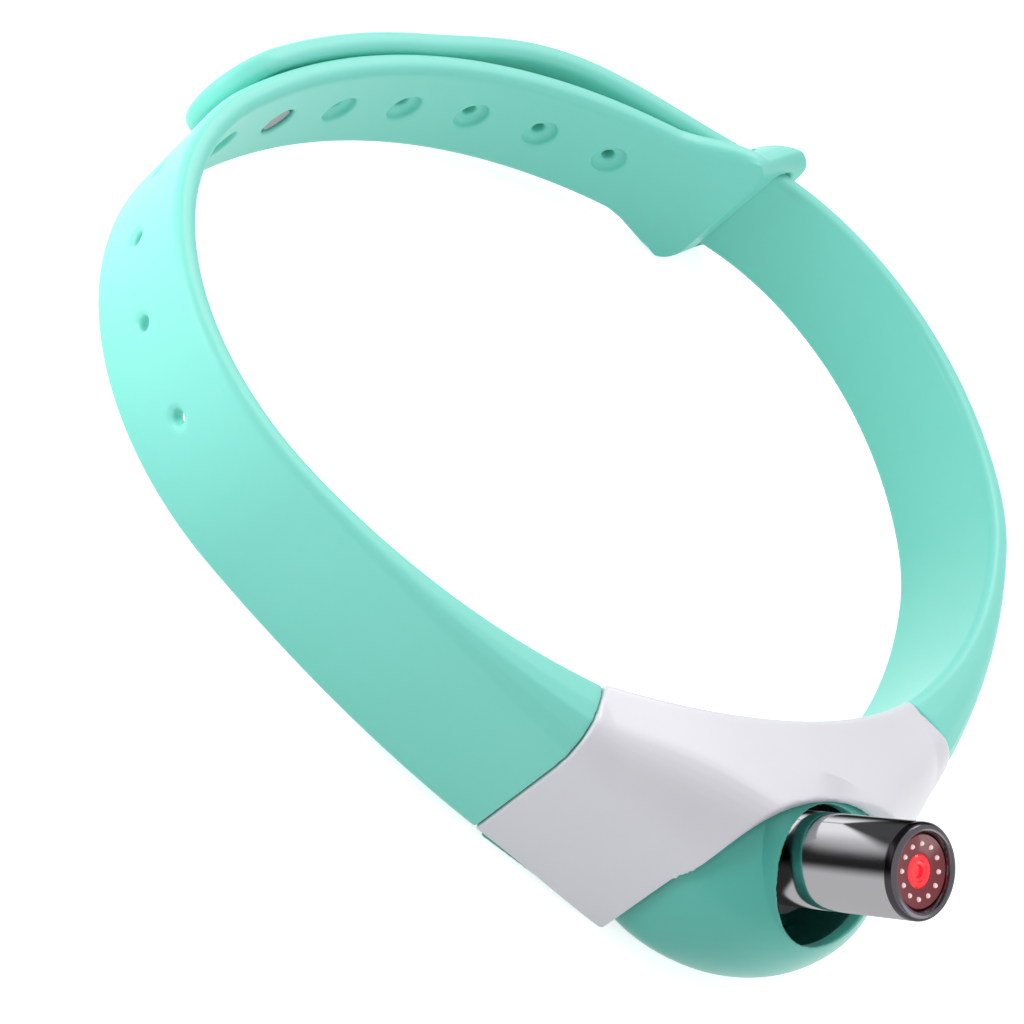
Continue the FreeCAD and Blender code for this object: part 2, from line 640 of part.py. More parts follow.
def pod_body(inset):
    """Outside of the pod's cover, or with an inset its inside, cut square to the flanks."""
    reach = at_loop(POD_HALF_LENGTH, POD_THICKNESS).x + POD_WALL
    turns = spaced(-90, 90, 12)
    middle = loft([pod_section(DOOR_X * math.sin(math.radians(turn)), inset) for turn in turns])
    wing = loft([pod_section(x, inset) for x in spaced(DOOR_X, reach, 3)])
    body = middle.fuse([wing, mirrored(wing)])
    end = seam_block(-inset, 3 * POD_THICKNESS)
    return body.cut([end, mirrored(end)])


def arch(gap, back):
    """Space of the dome seen from the front, from y = back forwards."""
    half = DOME_HALF_WIDTH + gap
    top = DOME_TOP + gap
    low = BASE_BOTTOM - 1
    sides = [V(half, 0, DOME_CENTRE_Z), V(half, 0, low), V(-half, 0, low), V(-half, 0, DOME_CENTRE_Z)]
    if half > top:
        oval = Part.Ellipse(V(half, 0, DOME_CENTRE_Z), V(0, 0, DOME_CENTRE_Z + top), V(0, 0, DOME_CENTRE_Z))
    else:
        oval = Part.Ellipse(V(0, 0, DOME_CENTRE_Z + top), V(half, 0, DOME_CENTRE_Z), V(0, 0, DOME_CENTRE_Z))
    upper = Part.Face(Part.Wire(oval.toShape())).extrude(V(0, -2 * DOME_NOSE, 0))
    lower = Part.Face(Part.makePolygon(sides + sides[:1])).extrude(V(0, -2 * DOME_NOSE, 0))
    shape = upper.fuse(lower)
    shape.translate(V(0, back, 0))
    return shape


def pod_cover():
    """White saddle: neck wall, roof and flanks, open below and arched over the dome."""
    shell = pod_body(0).cut(pod_body(POD_WALL))
    for x, y in COVER_SCREWS:
        boss = pillar(x, y, SCREW_BOSS, BASE_TOP + SHELL_GAP, POD_HALF_HEIGHT)
        shell = shell.fuse(boss.common(pod_body(0)))
    shell = shell.cut(arch(SHELL_GAP, DOME_CENTRE_Y + DOME_OVERLAP + SHELL_GAP))
    shell = shell.fuse([lug_space(0), mirrored(lug_space(0))])
    tools = [strap_pin(FIT), mirrored(strap_pin(FIT)), socket_mouth(), plug_space(SHELL_GAP)]
    tools += [pillar(x, y, SCREW_DIAMETER + 2 * FIT, BASE_BOTTOM, BASE_BOTTOM + SCREW_HEAD_HEIGHT
                     + SCREW_LENGTH + FIT) for x, y in COVER_SCREWS]
    return shell.cut(tools)


def dome_solid(inset):
    """Rounded nose of the pod: an oval half ball on sections that narrow towards the base."""
    half = DOME_HALF_WIDTH - inset
    nose = DOME_NOSE - inset
    ball = Part.makeSphere(1)
    stretch = FreeCAD.Matrix()
    stretch.scale(half, nose, DOME_TOP - inset)
    ball = ball.transformGeometry(stretch)
    ball.translate(V(0, DOME_CENTRE_Y, DOME_CENTRE_Z))
    size = 3 * DOME_HALF_WIDTH
    ball = ball.common(Part.makeBox(size, size, size, V(-size / 2, DOME_CENTRE_Y - size / 2, DOME_CENTRE_Z)))
    wires = []
    for z in spaced(DOME_CENTRE_Z, BASE_BOTTOM, 4):
        reach = nose * math.sqrt(1 - ((DOME_CENTRE_Z - z) / DOME_DROP) ** 2)
        centre = V(0, DOME_CENTRE_Y, z)
        oval = Part.Ellipse(centre + V(half, 0, 0), centre + V(0, reach, 0), centre)
        wires.append(Part.Wire(oval.toShape()))
    return ball.fuse(loft(wires))


def base_plate():
    """Floor of the pod, which drops a little below the cover and rests on the ground."""
    outline = pod_body(POD_WALL + SHELL_GAP)
    size = 8 * POD_HALF_LENGTH
    slab = Part.makeBox(size, size, SHELL_GAP / 8, V(-size / 2, -size / 2, FOOT_EDGE - POD_HALF_HEIGHT))
    slice_face = max(outline.common(slab).Faces, key=lambda face: face.Area)
    plate = slice_face.extrude(V(0, 0, BASE_THICKNESS))
    plate.translate(V(0, 0, BASE_BOTTOM - slice_face.BoundBox.ZMin))
    return plate


def pod_housing():
    """Mint base with the dome and its round window, and posts for the circuit board."""
    back = DOME_CENTRE_Y + DOME_OVERLAP
    size = 3 * DOME_HALF_WIDTH
    front = Part.makeBox(size, size, 2 * size, V(-size / 2, back - size, -size))
    floor = Part.makeBox(size, size, BASE_THICKNESS, V(-size / 2, back - size, BASE_BOTTOM))
    dome = dome_solid(0).cut(dome_solid(POD_WALL)).common(front)
    housing = base_plate().fuse([dome, dome_solid(0).common(floor)])
    housing = housing.fuse([pillar(x, y, POST_DIAMETER, BASE_TOP - POST_ROOT, BOARD_Z)
                            for x, y in POSTS])
    tools = [window()]
    for x, y in COVER_SCREWS:
        tools.append(pillar(x, y, SCREW_DIAMETER + 2 * FIT, BASE_BOTTOM - 1, BASE_TOP + 1))
        tools.append(pillar(x, y, SCREW_HEAD + 2 * FIT, BASE_BOTTOM - 1, BASE_BOTTOM + SCREW_HEAD_HEIGHT))
    for x, y in FRAME_SCREWS:
        depth = FRAME_SCREW_LENGTH - FRAME_FLOOR
        tools.append(pillar(x, y, FRAME_SCREW_DIAMETER + 2 * FIT, BASE_TOP - depth, BASE_TOP + 1))
    button = at_loop(-BUTTON_AT, BUTTON_OFFSET)
    tools.append(pillar(button.x, button.y, BUTTON_DIAMETER + 2 * RUNNING, BASE_BOTTOM - 1, BASE_TOP + 1))
    tools.append(pillar(PIPE_X, PIPE_Y, PIPE_DIAMETER + 2 * FIT, BASE_BOTTOM - 1, BASE_TOP + 1))
    return housing.cut(tools)


def window():
    """Round hole in the dome, along the laser's axis at rest."""
    hole = Part.makeCylinder(WINDOW_DIAMETER / 2, 3 * DOME_NOSE)
    hole.rotate(V(0, 0, 0), V(1, 0, 0), LASER_TILT)
    hole.translate(V(0, WINDOW_Y, WINDOW_Z))
    inward = hole.copy()
    tilt = math.radians(LASER_TILT)
    inward.translate(V(0, math.sin(tilt), -math.cos(tilt)) * (2.5 * POD_WALL))
    return hole.fuse(inward)


# ------------------------------------------------------------------ laser barrel
def laser_tube():
    """Bright plated tube that carries the laser."""
    body = tube(TUBE_DIAMETER, TUBE_DIAMETER - 2 * TUBE_WALL, -TUBE_REAR, TUBE_FRONT)
    return on_laser_axis(body)


def tube_bezel():
    """Dark ring that closes the front of the tube."""
    bore = TUBE_DIAMETER - 2 * TUBE_WALL
    cap = Part.makeCylinder(TUBE_DIAMETER / 2, BEZEL_HEIGHT, V(0, 0, TUBE_FRONT))
    rim = [e for e in cap.Edges if e.BoundBox.ZMin > TUBE_FRONT + BEZEL_HEIGHT / 2]
    cap = cap.makeFillet(BEZEL_EDGE, rim)
    spigot = Part.makeCylinder(bore / 2 - FIT, BEZEL_SPIGOT, V(0, 0, TUBE_FRONT - BEZEL_SPIGOT))
    hole = Part.makeCylinder(BEZEL_BORE / 2, 3 * BEZEL_HEIGHT + BEZEL_SPIGOT,
                             V(0, 0, TUBE_FRONT - BEZEL_SPIGOT))
    return on_laser_axis(cap.fuse(spigot).cut(hole))


def focus_ring():
    """Red notched ring around the lens."""
    top = TUBE_FRONT + BEZEL_HEIGHT / 2
    ring = tube(RING_DIAMETER, RING_BORE, top - RING_HEIGHT, top)
    middle = (RING_DIAMETER + RING_BORE) / 4
    notches = []
    for i in range(RING_NOTCHES):
        turn = 2 * math.pi * i / RING_NOTCHES
        foot = V(middle * math.cos(turn), middle * math.sin(turn), top - RING_HEIGHT / 3)
        notches.append(Part.makeCylinder(RING_NOTCH_DIAMETER / 2, RING_HEIGHT, foot))
    return on_laser_axis(ring.cut(notches))


def laser_lens():
    """Clear red lens with a dimple in its middle."""
    top = TUBE_FRONT + BEZEL_HEIGHT / 3
    lens = Part.makeCylinder(RING_BORE / 2 - FIT, LENS_HEIGHT, V(0, 0, top - LENS_HEIGHT))
    dimple = Part.makeCylinder(LENS_DIMPLE_DIAMETER / 2, 1, V(0, 0, top - LENS_DIMPLE_DEPTH))
    return on_laser_axis(lens.cut(dimple))


def laser_module():
    """Brass laser module, pushed into the tube up to the rings."""
    diameter = TUBE_DIAMETER - 2 * TUBE_WALL - 2 * FIT
    body = Part.makeCylinder(diameter / 2, MODULE_FRONT + MODULE_REAR, V(0, 0, -MODULE_REAR))
    reach = TUBE_FRONT + BEZEL_HEIGHT / 3 - LENS_HEIGHT - MODULE_FRONT
    nozzle = Part.makeCylinder(RING_BORE / 2 - FIT, reach, V(0, 0, MODULE_FRONT))
    return on_laser_axis(body.fuse(nozzle))


def swing_cradle():
    """Moulded ring around the tube with a boss on each side for the trunnion pins."""
    outer = TUBE_DIAMETER + 2 * CRADLE_WALL
    ring = on_laser_axis(Part.makeCylinder(outer / 2, 2 * CRADLE_HALF, V(0, 0, -CRADLE_HALF)))
    boss = cross_pin(PIVOT_Y, PIVOT_Z, BOSS_DIAMETER, -BOSS_REACH, BOSS_REACH)
    bore = Part.makeCylinder(TUBE_DIAMETER / 2 + FIT, 4 * CRADLE_HALF, V(0, 0, -2 * CRADLE_HALF))
    pins = cross_pin(PIVOT_Y, PIVOT_Z, TRUNNION_DIAMETER + 2 * FIT, -2 * BOSS_REACH, 2 * BOSS_REACH)
    return ring.fuse(boss).cut([on_laser_axis(bore), pins])


def trunnion_pins():
    """Two steel pins on which the cradle swings."""
    start = TUBE_DIAMETER / 2 + 2 * FIT
    right = cross_pin(PIVOT_Y, PIVOT_Z, TRUNNION_DIAMETER, start, PLATE_OUT)
    left = cross_pin(PIVOT_Y, PIVOT_Z, TRUNNION_DIAMETER, -left_plate_x() - PLATE_THICKNESS, -start)
    return Part.makeCompound([right, left])


def left_plate_x():
    """Inner face of the frame's left plate, as a distance from the middle."""
    return BOSS_REACH + SIDE_PLAY


# ------------------------------------------------------------------ gears
def gear_outline(teeth, phase):
    """Closed face of an involute gear with a tooth centred on the angle phase, in degrees."""
    pitch = MODULE * teeth / 2
    base = pitch * math.cos(math.radians(PRESSURE_ANGLE))
    root = pitch - DEDENDUM * MODULE
    tip = pitch + ADDENDUM * MODULE
    half = math.pi / (2 * teeth) - BACKLASH / (4 * pitch)

    def half_angle(radius):
        """Half of the tooth's width at a radius, as an angle."""
        turn = math.acos(min(1.0, base / max(radius, base)))
        lean = math.radians(PRESSURE_ANGLE)
        return half + (math.tan(lean) - lean) - (math.tan(turn) - turn)

    radii = [root, max(base, root + 0.01), (base + pitch) / 2 if base > root else pitch, pitch, tip]
    radii = sorted(set(radii))
    points = []
    for i in range(teeth):
        middle = math.radians(phase) + 2 * math.pi * i / teeth
        left = [(r, middle - half_angle(r)) for r in radii]
        right = [(r, middle + half_angle(r)) for r in reversed(radii)]
        points += [V(r * math.cos(a), r * math.sin(a), 0) for r, a in left + right]
    return Part.Face(Part.makePolygon(points + points[:1]))


def sector_gear():
    """Toothed sector pressed on the right trunnion pin."""
    wheel = gear_outline(SECTOR_TEETH, IDLER_DIRECTION).extrude(V(0, 0, SECTOR_THICKNESS))
    reach = MODULE * SECTOR_TEETH
    start = math.radians(IDLER_DIRECTION - SECTOR_SHIFT - SECTOR_SPAN / 2)
    end = math.radians(IDLER_DIRECTION - SECTOR_SHIFT + SECTOR_SPAN / 2)
    fan = [V(0, 0, 0), V(reach * math.cos(start), reach * math.sin(start), 0),
           V(reach * math.cos(end), reach * math.sin(end), 0)]
    wedge = Part.Face(Part.makePolygon(fan + fan[:1])).extrude(V(0, 0, SECTOR_THICKNESS))
    hub = Part.makeCylinder(BOSS_DIAMETER / 2, SECTOR_THICKNESS)
    bore = Part.makeCylinder(TRUNNION_DIAMETER / 2 + FIT, SECTOR_THICKNESS)
    return across(wheel.common(wedge).fuse(hub).cut(bore), SECTOR_X, PIVOT_Y, PIVOT_Z)


def idler_gear():
    """Compound gear: a small pinion against the sector and a wheel against the motor."""
    phase = IDLER_DIRECTION + 180 + 180 / PINION_TEETH
    pinion = gear_outline(PINION_TEETH, phase).extrude(V(0, 0, WHEEL_X - SECTOR_X))
    wheel = gear_outline(WHEEL_TEETH, MOTOR_DIRECTION).extrude(V(0, 0, WHEEL_THICKNESS))
    wheel.translate(V(0, 0, WHEEL_X - SECTOR_X))
    bore = Part.makeCylinder(IDLER_PIN_DIAMETER / 2 + RUNNING, 2 * (PLATE_X - SECTOR_X))
    return across(pinion.fuse(wheel).cut(bore), SECTOR_X, IDLER_Y, IDLER_Z)


def idler_pin():
    """Steel pin for the compound gear, fixed in the frame's right plate."""
    inner = SECTOR_X - SIDE_PLAY
    start = inner - IDLER_PIN_HEAD_HEIGHT
    head = cross_pin(IDLER_Y, IDLER_Z, IDLER_PIN_HEAD, start, inner)
    return head.fuse(cross_pin(IDLER_Y, IDLER_Z, IDLER_PIN_DIAMETER, start, PLATE_OUT))


def motor_pinion():
    """Brass pinion on the motor's shaft."""
    phase = MOTOR_DIRECTION + 180 + 180 / MOTOR_TEETH
    wheel = gear_outline(MOTOR_TEETH, phase).extrude(V(0, 0, WHEEL_THICKNESS))
    bore = Part.makeCylinder(MOTOR_SHAFT_DIAMETER / 2 + FIT, WHEEL_THICKNESS)
    return across(wheel.cut(bore), WHEEL_X, MOTOR_Y, MOTOR_Z)


def motor_shaft():
    """Steel shaft of the motor."""
    return cross_pin(MOTOR_Y, MOTOR_Z, MOTOR_SHAFT_DIAMETER, WHEEL_X - MOTOR_SHAFT_END,
                     PLATE_OUT + MOTOR_LENGTH / 2)


def motor_can():
    """Micro motor with a stepped nose that seats in the frame's plate."""
    can = cross_pin(MOTOR_Y, MOTOR_Z, MOTOR_DIAMETER, PLATE_OUT, PLATE_OUT + MOTOR_LENGTH)
    nose = cross_pin(MOTOR_Y, MOTOR_Z, MOTOR_NOSE_DIAMETER, PLATE_X + PLATE_THICKNESS / 4, PLATE_OUT)
    bore = cross_pin(MOTOR_Y, MOTOR_Z, MOTOR_SHAFT_DIAMETER + 2 * RUNNING, PLATE_X,
                     PLATE_OUT + MOTOR_LENGTH / 2 + RUNNING)
    return can.fuse(nose).cut(bore)


# ------------------------------------------------------------------ frame
def swing_frame():
    """Frame on the base: a floor, two plates for the trunnions and a saddle for the motor."""
    left = left_plate_x() + PLATE_THICKNESS
    front = PIVOT_Y - PLATE_FRONT
    depth = PLATE_BACK - front
    floor = Part.makeBox(left + PLATE_OUT, depth, FRAME_FLOOR, V(-left, front, BASE_TOP))
    wing = Part.makeBox(SADDLE_GAP + MOTOR_SADDLE_LENGTH, MOTOR_SADDLE_WIDTH, FRAME_FLOOR,
                        V(PLATE_OUT, MOTOR_Y - MOTOR_SADDLE_WIDTH / 2, BASE_TOP))
    height = PLATE_TOP - BASE_TOP
    right_plate = Part.makeBox(PLATE_THICKNESS, depth, height, V(PLATE_X, front, BASE_TOP))
    left_plate = Part.makeBox(PLATE_THICKNESS, 2 * PLATE_FRONT, height, V(-left, front, BASE_TOP))
    saddle = Part.makeBox(MOTOR_SADDLE_LENGTH, MOTOR_SADDLE_WIDTH, MOTOR_Z - BASE_TOP,
                          V(PLATE_OUT + SADDLE_GAP, MOTOR_Y - MOTOR_SADDLE_WIDTH / 2, BASE_TOP))
    frame = floor.fuse([wing, right_plate, left_plate, saddle])
    tools = [cross_pin(PIVOT_Y, PIVOT_Z, TRUNNION_DIAMETER + 2 * RUNNING, -2 * left, 2 * PLATE_OUT),
             cross_pin(IDLER_Y, IDLER_Z, IDLER_PIN_DIAMETER + 2 * FIT, PLATE_X - 1, PLATE_OUT + 1),
             cross_pin(MOTOR_Y, MOTOR_Z, MOTOR_NOSE_DIAMETER + 2 * FIT, PLATE_X - 1, PLATE_OUT + 1),
             cross_pin(MOTOR_Y, MOTOR_Z, MOTOR_DIAMETER + 2 * FIT, PLATE_OUT, 2 * PLATE_OUT)]
    tools += [pillar(x, y, FRAME_SCREW_DIAMETER + 2 * FIT, BASE_TOP - 1, FLOOR_TOP + 1)
              for x, y in FRAME_SCREWS]
    return frame.cut(tools)


# ------------------------------------------------------------------ electronics
def circuit_board():
    """Circuit board in the left end of the pod."""
    space = pod_body(POD_WALL + BOARD_GAP)
    size = 4 * POD_HALF_LENGTH
    slab = Part.makeBox(size, size, BOARD_THICKNESS,
                        V(-size - BOARD_START, DOME_CENTRE_Y - size / 2, BOARD_Z))
    board = space.common(slab)
    reach = DOME_CENTRE_Y + DOME_OVERLAP + BOARD_GAP
    dome_side = Part.makeBox(DOME_HALF_WIDTH + BOARD_GAP, size, size,
                             V(-DOME_HALF_WIDTH - BOARD_GAP, reach - size, -size / 2))
    x, y = COVER_SCREWS[0]
    boss = pillar(x, y, SCREW_BOSS + 2 * BOARD_GAP, BOARD_Z - 1, BOARD_TOP + 1)
    notch = Part.makeBox(SCREW_BOSS + 2 * BOARD_GAP, size, size,
                         V(x - SCREW_BOSS / 2 - BOARD_GAP, y - size, -size / 2))
    return board.cut([dome_side, boss, notch])


def battery():
    """Pouch cell that stands against the neck wall, above the board."""
    low = WALL_OFFSET + BOARD_GAP
    z = BOARD_TOP + BOARD_GAP
    half = BATTERY_LENGTH / 2
    cell = block(-BATTERY_AT, (-half, half), low, low + BATTERY_THICKNESS, z, z + BATTERY_HEIGHT)
    upright = [e for e in cell.Edges if e.BoundBox.ZLength > BATTERY_HEIGHT / 2]
    return cell.makeFillet(BATTERY_EDGE, upright)


def usb_socket():
    """Charging socket under the board, with its mouth in the neck wall."""
    half = SOCKET_WIDTH / 2
    low = -HALF_STRAP + PLUG_THICKNESS + SHELL_GAP
    shell = block(-SOCKET_AT, (-half, half), low, low + SOCKET_DEPTH, BOARD_Z - SOCKET_HEIGHT, BOARD_Z)
    inner = half - SOCKET_WALL
    hollow = block(-SOCKET_AT, (-inner, inner), low - 1, low + SOCKET_DEPTH - SOCKET_WALL,
                   BOARD_Z - SOCKET_HEIGHT + SOCKET_WALL, BOARD_Z - SOCKET_WALL)
    middle = BOARD_Z - SOCKET_HEIGHT / 2
    tongue = block(-SOCKET_AT, (-inner / 2, inner / 2), low + SOCKET_TONGUE_INSET, low + SOCKET_DEPTH,
                   middle - SOCKET_TONGUE / 2, middle + SOCKET_TONGUE / 2)
    return shell.cut(hollow).fuse(tongue)


def socket_mouth():
    """Hole in the neck wall for the charging socket."""
    half = SOCKET_WIDTH / 2 + SHELL_GAP
    return block(-SOCKET_AT, (-half, half), -STRAP_THICKNESS, STRAP_THICKNESS,
                 BOARD_Z - SOCKET_HEIGHT - SHELL_GAP, BOARD_Z + SHELL_GAP)


def plug_hinge():
    """Point on the axis about which the port plug opens, at the socket's height."""
    point, normal = loop_frame(-SOCKET_AT)
    along = UP.cross(normal)
    middle = BOARD_Z - SOCKET_HEIGHT / 2
    return point - along * (PLUG_WIDTH / 2) + normal * (PLUG_THICKNESS / 2 - HALF_STRAP) + UP * middle


def plug_space(gap):
    """Shallow pocket in the neck wall for the port plug."""
    half = PLUG_WIDTH / 2
    middle = BOARD_Z - SOCKET_HEIGHT / 2
    tall = PLUG_HEIGHT / 2 + gap
    ahead = (-half - PLUG_THICKNESS / 2 - 2 * gap, half + 2 * gap)
    return block(-SOCKET_AT, ahead, -2 * STRAP_THICKNESS, PLUG_THICKNESS + gap - HALF_STRAP,
                 middle - tall, middle + tall)


def port_plug():
    """Soft flap over the charging socket, hinged at one end, with a short tongue."""
    half = PLUG_WIDTH / 2
    middle = BOARD_Z - SOCKET_HEIGHT / 2
    hinge = plug_hinge()
    flap = block(-SOCKET_AT, (-half, half), -HALF_STRAP, PLUG_THICKNESS - HALF_STRAP,
                 middle - PLUG_HEIGHT / 2, middle + PLUG_HEIGHT / 2)
    knuckle = pillar(hinge.x, hinge.y, PLUG_THICKNESS, middle - PLUG_HEIGHT / 2, middle + PLUG_HEIGHT / 2)
    inner = SOCKET_WIDTH / 2 - SOCKET_WALL - 2 * SHELL_GAP
    tall = SOCKET_HEIGHT / 2 - SOCKET_WALL - SHELL_GAP
    tongue = block(-SOCKET_AT, (-inner, inner), -PLUG_THICKNESS / 2,
                   PLUG_THICKNESS - HALF_STRAP + PLUG_TONGUE, middle - tall, middle + tall)
    return flap.fuse([knuckle, tongue])


def tact_switch():
    """Push switch under the board, above the button."""
    half = SWITCH_SIZE / 2
    body = block(-BUTTON_AT, (-half, half), BUTTON_OFFSET - half, BUTTON_OFFSET + half,
                 BOARD_Z - SWITCH_HEIGHT + SWITCH_KEY_HEIGHT, BOARD_Z)
    centre = at_loop(-BUTTON_AT, BUTTON_OFFSET)
    key_top = BOARD_Z - SWITCH_KEY_HEIGHT
    return body.fuse(pillar(centre.x, centre.y, SWITCH_SIZE / 2, BOARD_Z - SWITCH_HEIGHT, key_top))


def button_cap():
    """Button in the base, held in by its flange."""
    centre = at_loop(-BUTTON_AT, BUTTON_OFFSET)
    top = BOARD_Z - SWITCH_HEIGHT - BUTTON_TRAVEL - RUNNING
    flange_z = BASE_TOP + RUNNING
    flange_top = flange_z + BUTTON_FLANGE_HEIGHT
    stem = pillar(centre.x, centre.y, BUTTON_DIAMETER, BASE_BOTTOM + BUTTON_INSET, flange_top)
    flange = pillar(centre.x, centre.y, BUTTON_FLANGE, flange_z, flange_top)
    nub = pillar(centre.x, centre.y, SWITCH_SIZE / 2, flange_z, top)
    return stem.fuse([flange, nub])


def light_pipe():
    """Clear pin that carries the charging light through the base."""
    top = BOARD_Z - LED_HEIGHT - SHELL_GAP
    return pillar(PIPE_X, PIPE_Y, PIPE_DIAMETER, BASE_BOTTOM + BUTTON_INSET, top)


def status_led():
    """Charging light on the underside of the board."""
    return Part.makeBox(LED_SIZE, LED_SIZE, LED_HEIGHT,
                        V(PIPE_X - LED_SIZE / 2, PIPE_Y - LED_SIZE / 2, BOARD_Z - LED_HEIGHT))


def control_chip():
    """Controller on top of the board."""
    half = CHIP_SIZE / 2
    x, y = CHIP_AT
    return Part.makeBox(CHIP_SIZE, CHIP_SIZE, CHIP_HEIGHT, V(x - half, y - half, BOARD_TOP))


# ------------------------------------------------------------------ screws and leads
def cover_screws():
    """Self-tapping screws that hold the base to the cover."""
    screws = []
    for x, y in COVER_SCREWS:
        seat = BASE_BOTTOM + SCREW_HEAD_HEIGHT
        face = BASE_BOTTOM + SCREW_INSET
        head = pillar(x, y, SCREW_HEAD, face, seat)
        shank = pillar(x, y, SCREW_DIAMETER, face + SCREW_INSET, seat + SCREW_LENGTH)
        screws.append(head.fuse(shank).cut(screw_slot(x, y, face, SCREW_HEAD)))
    return Part.makeCompound(screws)


def screw_slot(x, y, z, size):
    """Cross recess in a screw's head."""
    length = SCREW_SLOT_LENGTH * size
    width = SCREW_SLOT_WIDTH * size
    first = Part.makeBox(length, width, SCREW_SLOT_DEPTH, V(x - length / 2, y - width / 2, z))
    second = Part.makeBox(width, length, SCREW_SLOT_DEPTH, V(x - width / 2, y - length / 2, z))
    return first.fuse(second)


def frame_screws():
    """Small screws that hold the frame to the base."""
    screws = []
    for x, y in FRAME_SCREWS:
        top = FLOOR_TOP + FRAME_SCREW_HEAD_HEIGHT
        head = pillar(x, y, FRAME_SCREW_HEAD, FLOOR_TOP, top)
        shank = pillar(x, y, FRAME_SCREW_DIAMETER, FLOOR_TOP - FRAME_SCREW_LENGTH, top - SCREW_INSET)
        slot = screw_slot(x, y, top - SCREW_SLOT_DEPTH * 3 / 4, FRAME_SCREW_HEAD)
        screws.append(head.fuse(shank).cut(slot))
    return Part.makeCompound(screws)


def lead(points, diameter):
    """Insulated wire along straight runs joined by tangent arcs."""
    edges = []
    start = points[0]
    for before, corner, after in zip(points, points[1:], points[2:]):
        back = before - corner
        ahead = after - corner
        cut = LEAD_BEND * min(back.Length, ahead.Length)
        back.normalize()
        ahead.normalize()
        half = back.getAngle(ahead) / 2
        middle = (back + ahead).normalize()
        radius = cut * math.tan(half)
        centre = corner + middle * (cut / math.cos(half))
        enter = corner + back * cut
        leave = corner + ahead * cut
        edges.append(Part.LineSegment(start, enter).toShape())
        edges.append(Part.Arc(enter, centre - middle * radius, leave).toShape())
        start = leave
    edges.append(Part.LineSegment(start, points[-1]).toShape())
    path = Part.Wire(edges)
    direction = points[1] - points[0]
    circle = Part.Wire(Part.Circle(points[0], direction, diameter / 2).toShape())
    return path.makePipeShell([circle], True, False)


def laser_leads():
    """Two wires from the laser module to the underside of the board."""
    rear = on_laser_axis(Part.Vertex(0, 0, -MODULE_REAR - LEAD_START)).Point
    below = on_laser_axis(Part.Vertex(0, 0, -MODULE_REAR - 3 * LEAD_START)).Point
    wires = []
    for i in (0, 1):
        shift = V(i - 0.5, 0, 0)
        z = FLOOR_TOP + LASER_LEAD_LIFT - LEAD_PITCH * i
        x, y = LASER_PAD[0] - LEAD_PITCH * i, LASER_PAD[1]
        turn = V(2 * (i - 1.5), LASER_LEAD_Y, z)
        points = [rear + shift, below + shift, turn, V(x, y, z), V(x, y, BOARD_Z)]
        wires.append(lead(points, LEAD_DIAMETER))
    return Part.makeCompound(wires)


def motor_leads():
    """Two wires from the motor, over the gear train, to the board."""
    rear = PLATE_OUT + MOTOR_LENGTH
    wires = []
    for i in (0, 1):
        start = MOTOR_Z + LEAD_PITCH * (i - 0.5)
        z = PLATE_TOP + MOTOR_LEAD_LIFT + LEAD_PITCH * i
        turn = rear + MOTOR_LEAD_REACH + LEAD_PITCH * i
        x, y = MOTOR_PAD[0] - LEAD_PITCH * i, MOTOR_PAD[1]
        points = [V(rear, MOTOR_Y, start), V(turn, MOTOR_Y, start), V(turn, MOTOR_Y, z),
                  V(rear - MOTOR_LEAD_REACH, MOTOR_LEAD_Y, z), V(MOTOR_LEAD_X, MOTOR_LEAD_Y, z),
                  V(x, y, z), V(x, y, BOARD_TOP)]
        wires.append(lead(points, LEAD_DIAMETER))
    return Part.makeCompound(wires)


def battery_leads():
    """Two short wires from the cell to the board."""
    wires = []
    for i in (0, 1):
        z = BATTERY_LEAD_Z + BATTERY_LEAD_PITCH * i
        start = at_loop(-BATTERY_AT + BATTERY_LENGTH / 2, BATTERY_LEAD_OFFSET, z)
        x, y = BATTERY_PAD[0] - LEAD_PITCH * i, BATTERY_PAD[1]
        points = [start, start + V(0.8, -0.1, 0), V(BATTERY_LEAD_X, y, z), V(x, y, z), V(x, y, BOARD_TOP)]
        wires.append(lead(points, LEAD_DIAMETER))
    return Part.makeCompound(wires)


# ------------------------------------------------------------------ the whole collar
def build():
    """All pieces by node name, in the loop's own frame."""
    return {
        "strap_left": left_strap(),
        "strap_right": right_strap(),
        "strap_tail": strap_tail(),
        "strap_stud": stud(),
        "strap_pins": Part.makeCompound([strap_pin(), mirrored(strap_pin())]),
        "pod_cover": pod_cover(),
        "pod_housing": pod_housing(),
        "cover_screws": cover_screws(),
        "laser_tube": laser_tube(),
        "tube_bezel": tube_bezel(),
        "focus_ring": focus_ring(),
        "laser_lens": laser_lens(),
        "laser_module": laser_module(),
        "swing_cradle": swing_cradle(),
        "trunnion_pins": trunnion_pins(),
        "sector_gear": sector_gear(),
        "idler_gear": idler_gear(),
        "idler_pin": idler_pin(),
        "motor_pinion": motor_pinion(),
        "motor_shaft": motor_shaft(),
        "motor_can": motor_can(),
        "swing_frame": swing_frame(),
        "frame_screws": frame_screws(),
        "circuit_board": circuit_board(),
        "control_chip": control_chip(),
        "battery": battery(),
        "usb_socket": usb_socket(),
        "port_plug": port_plug(),
        "tact_switch": tact_switch(),
        "button_cap": button_cap(),
        "status_led": status_led(),
        "light_pipe": light_pipe(),
        "laser_leads": laser_leads(),
        "motor_leads": motor_leads(),
        "battery_leads": battery_leads(),
    }


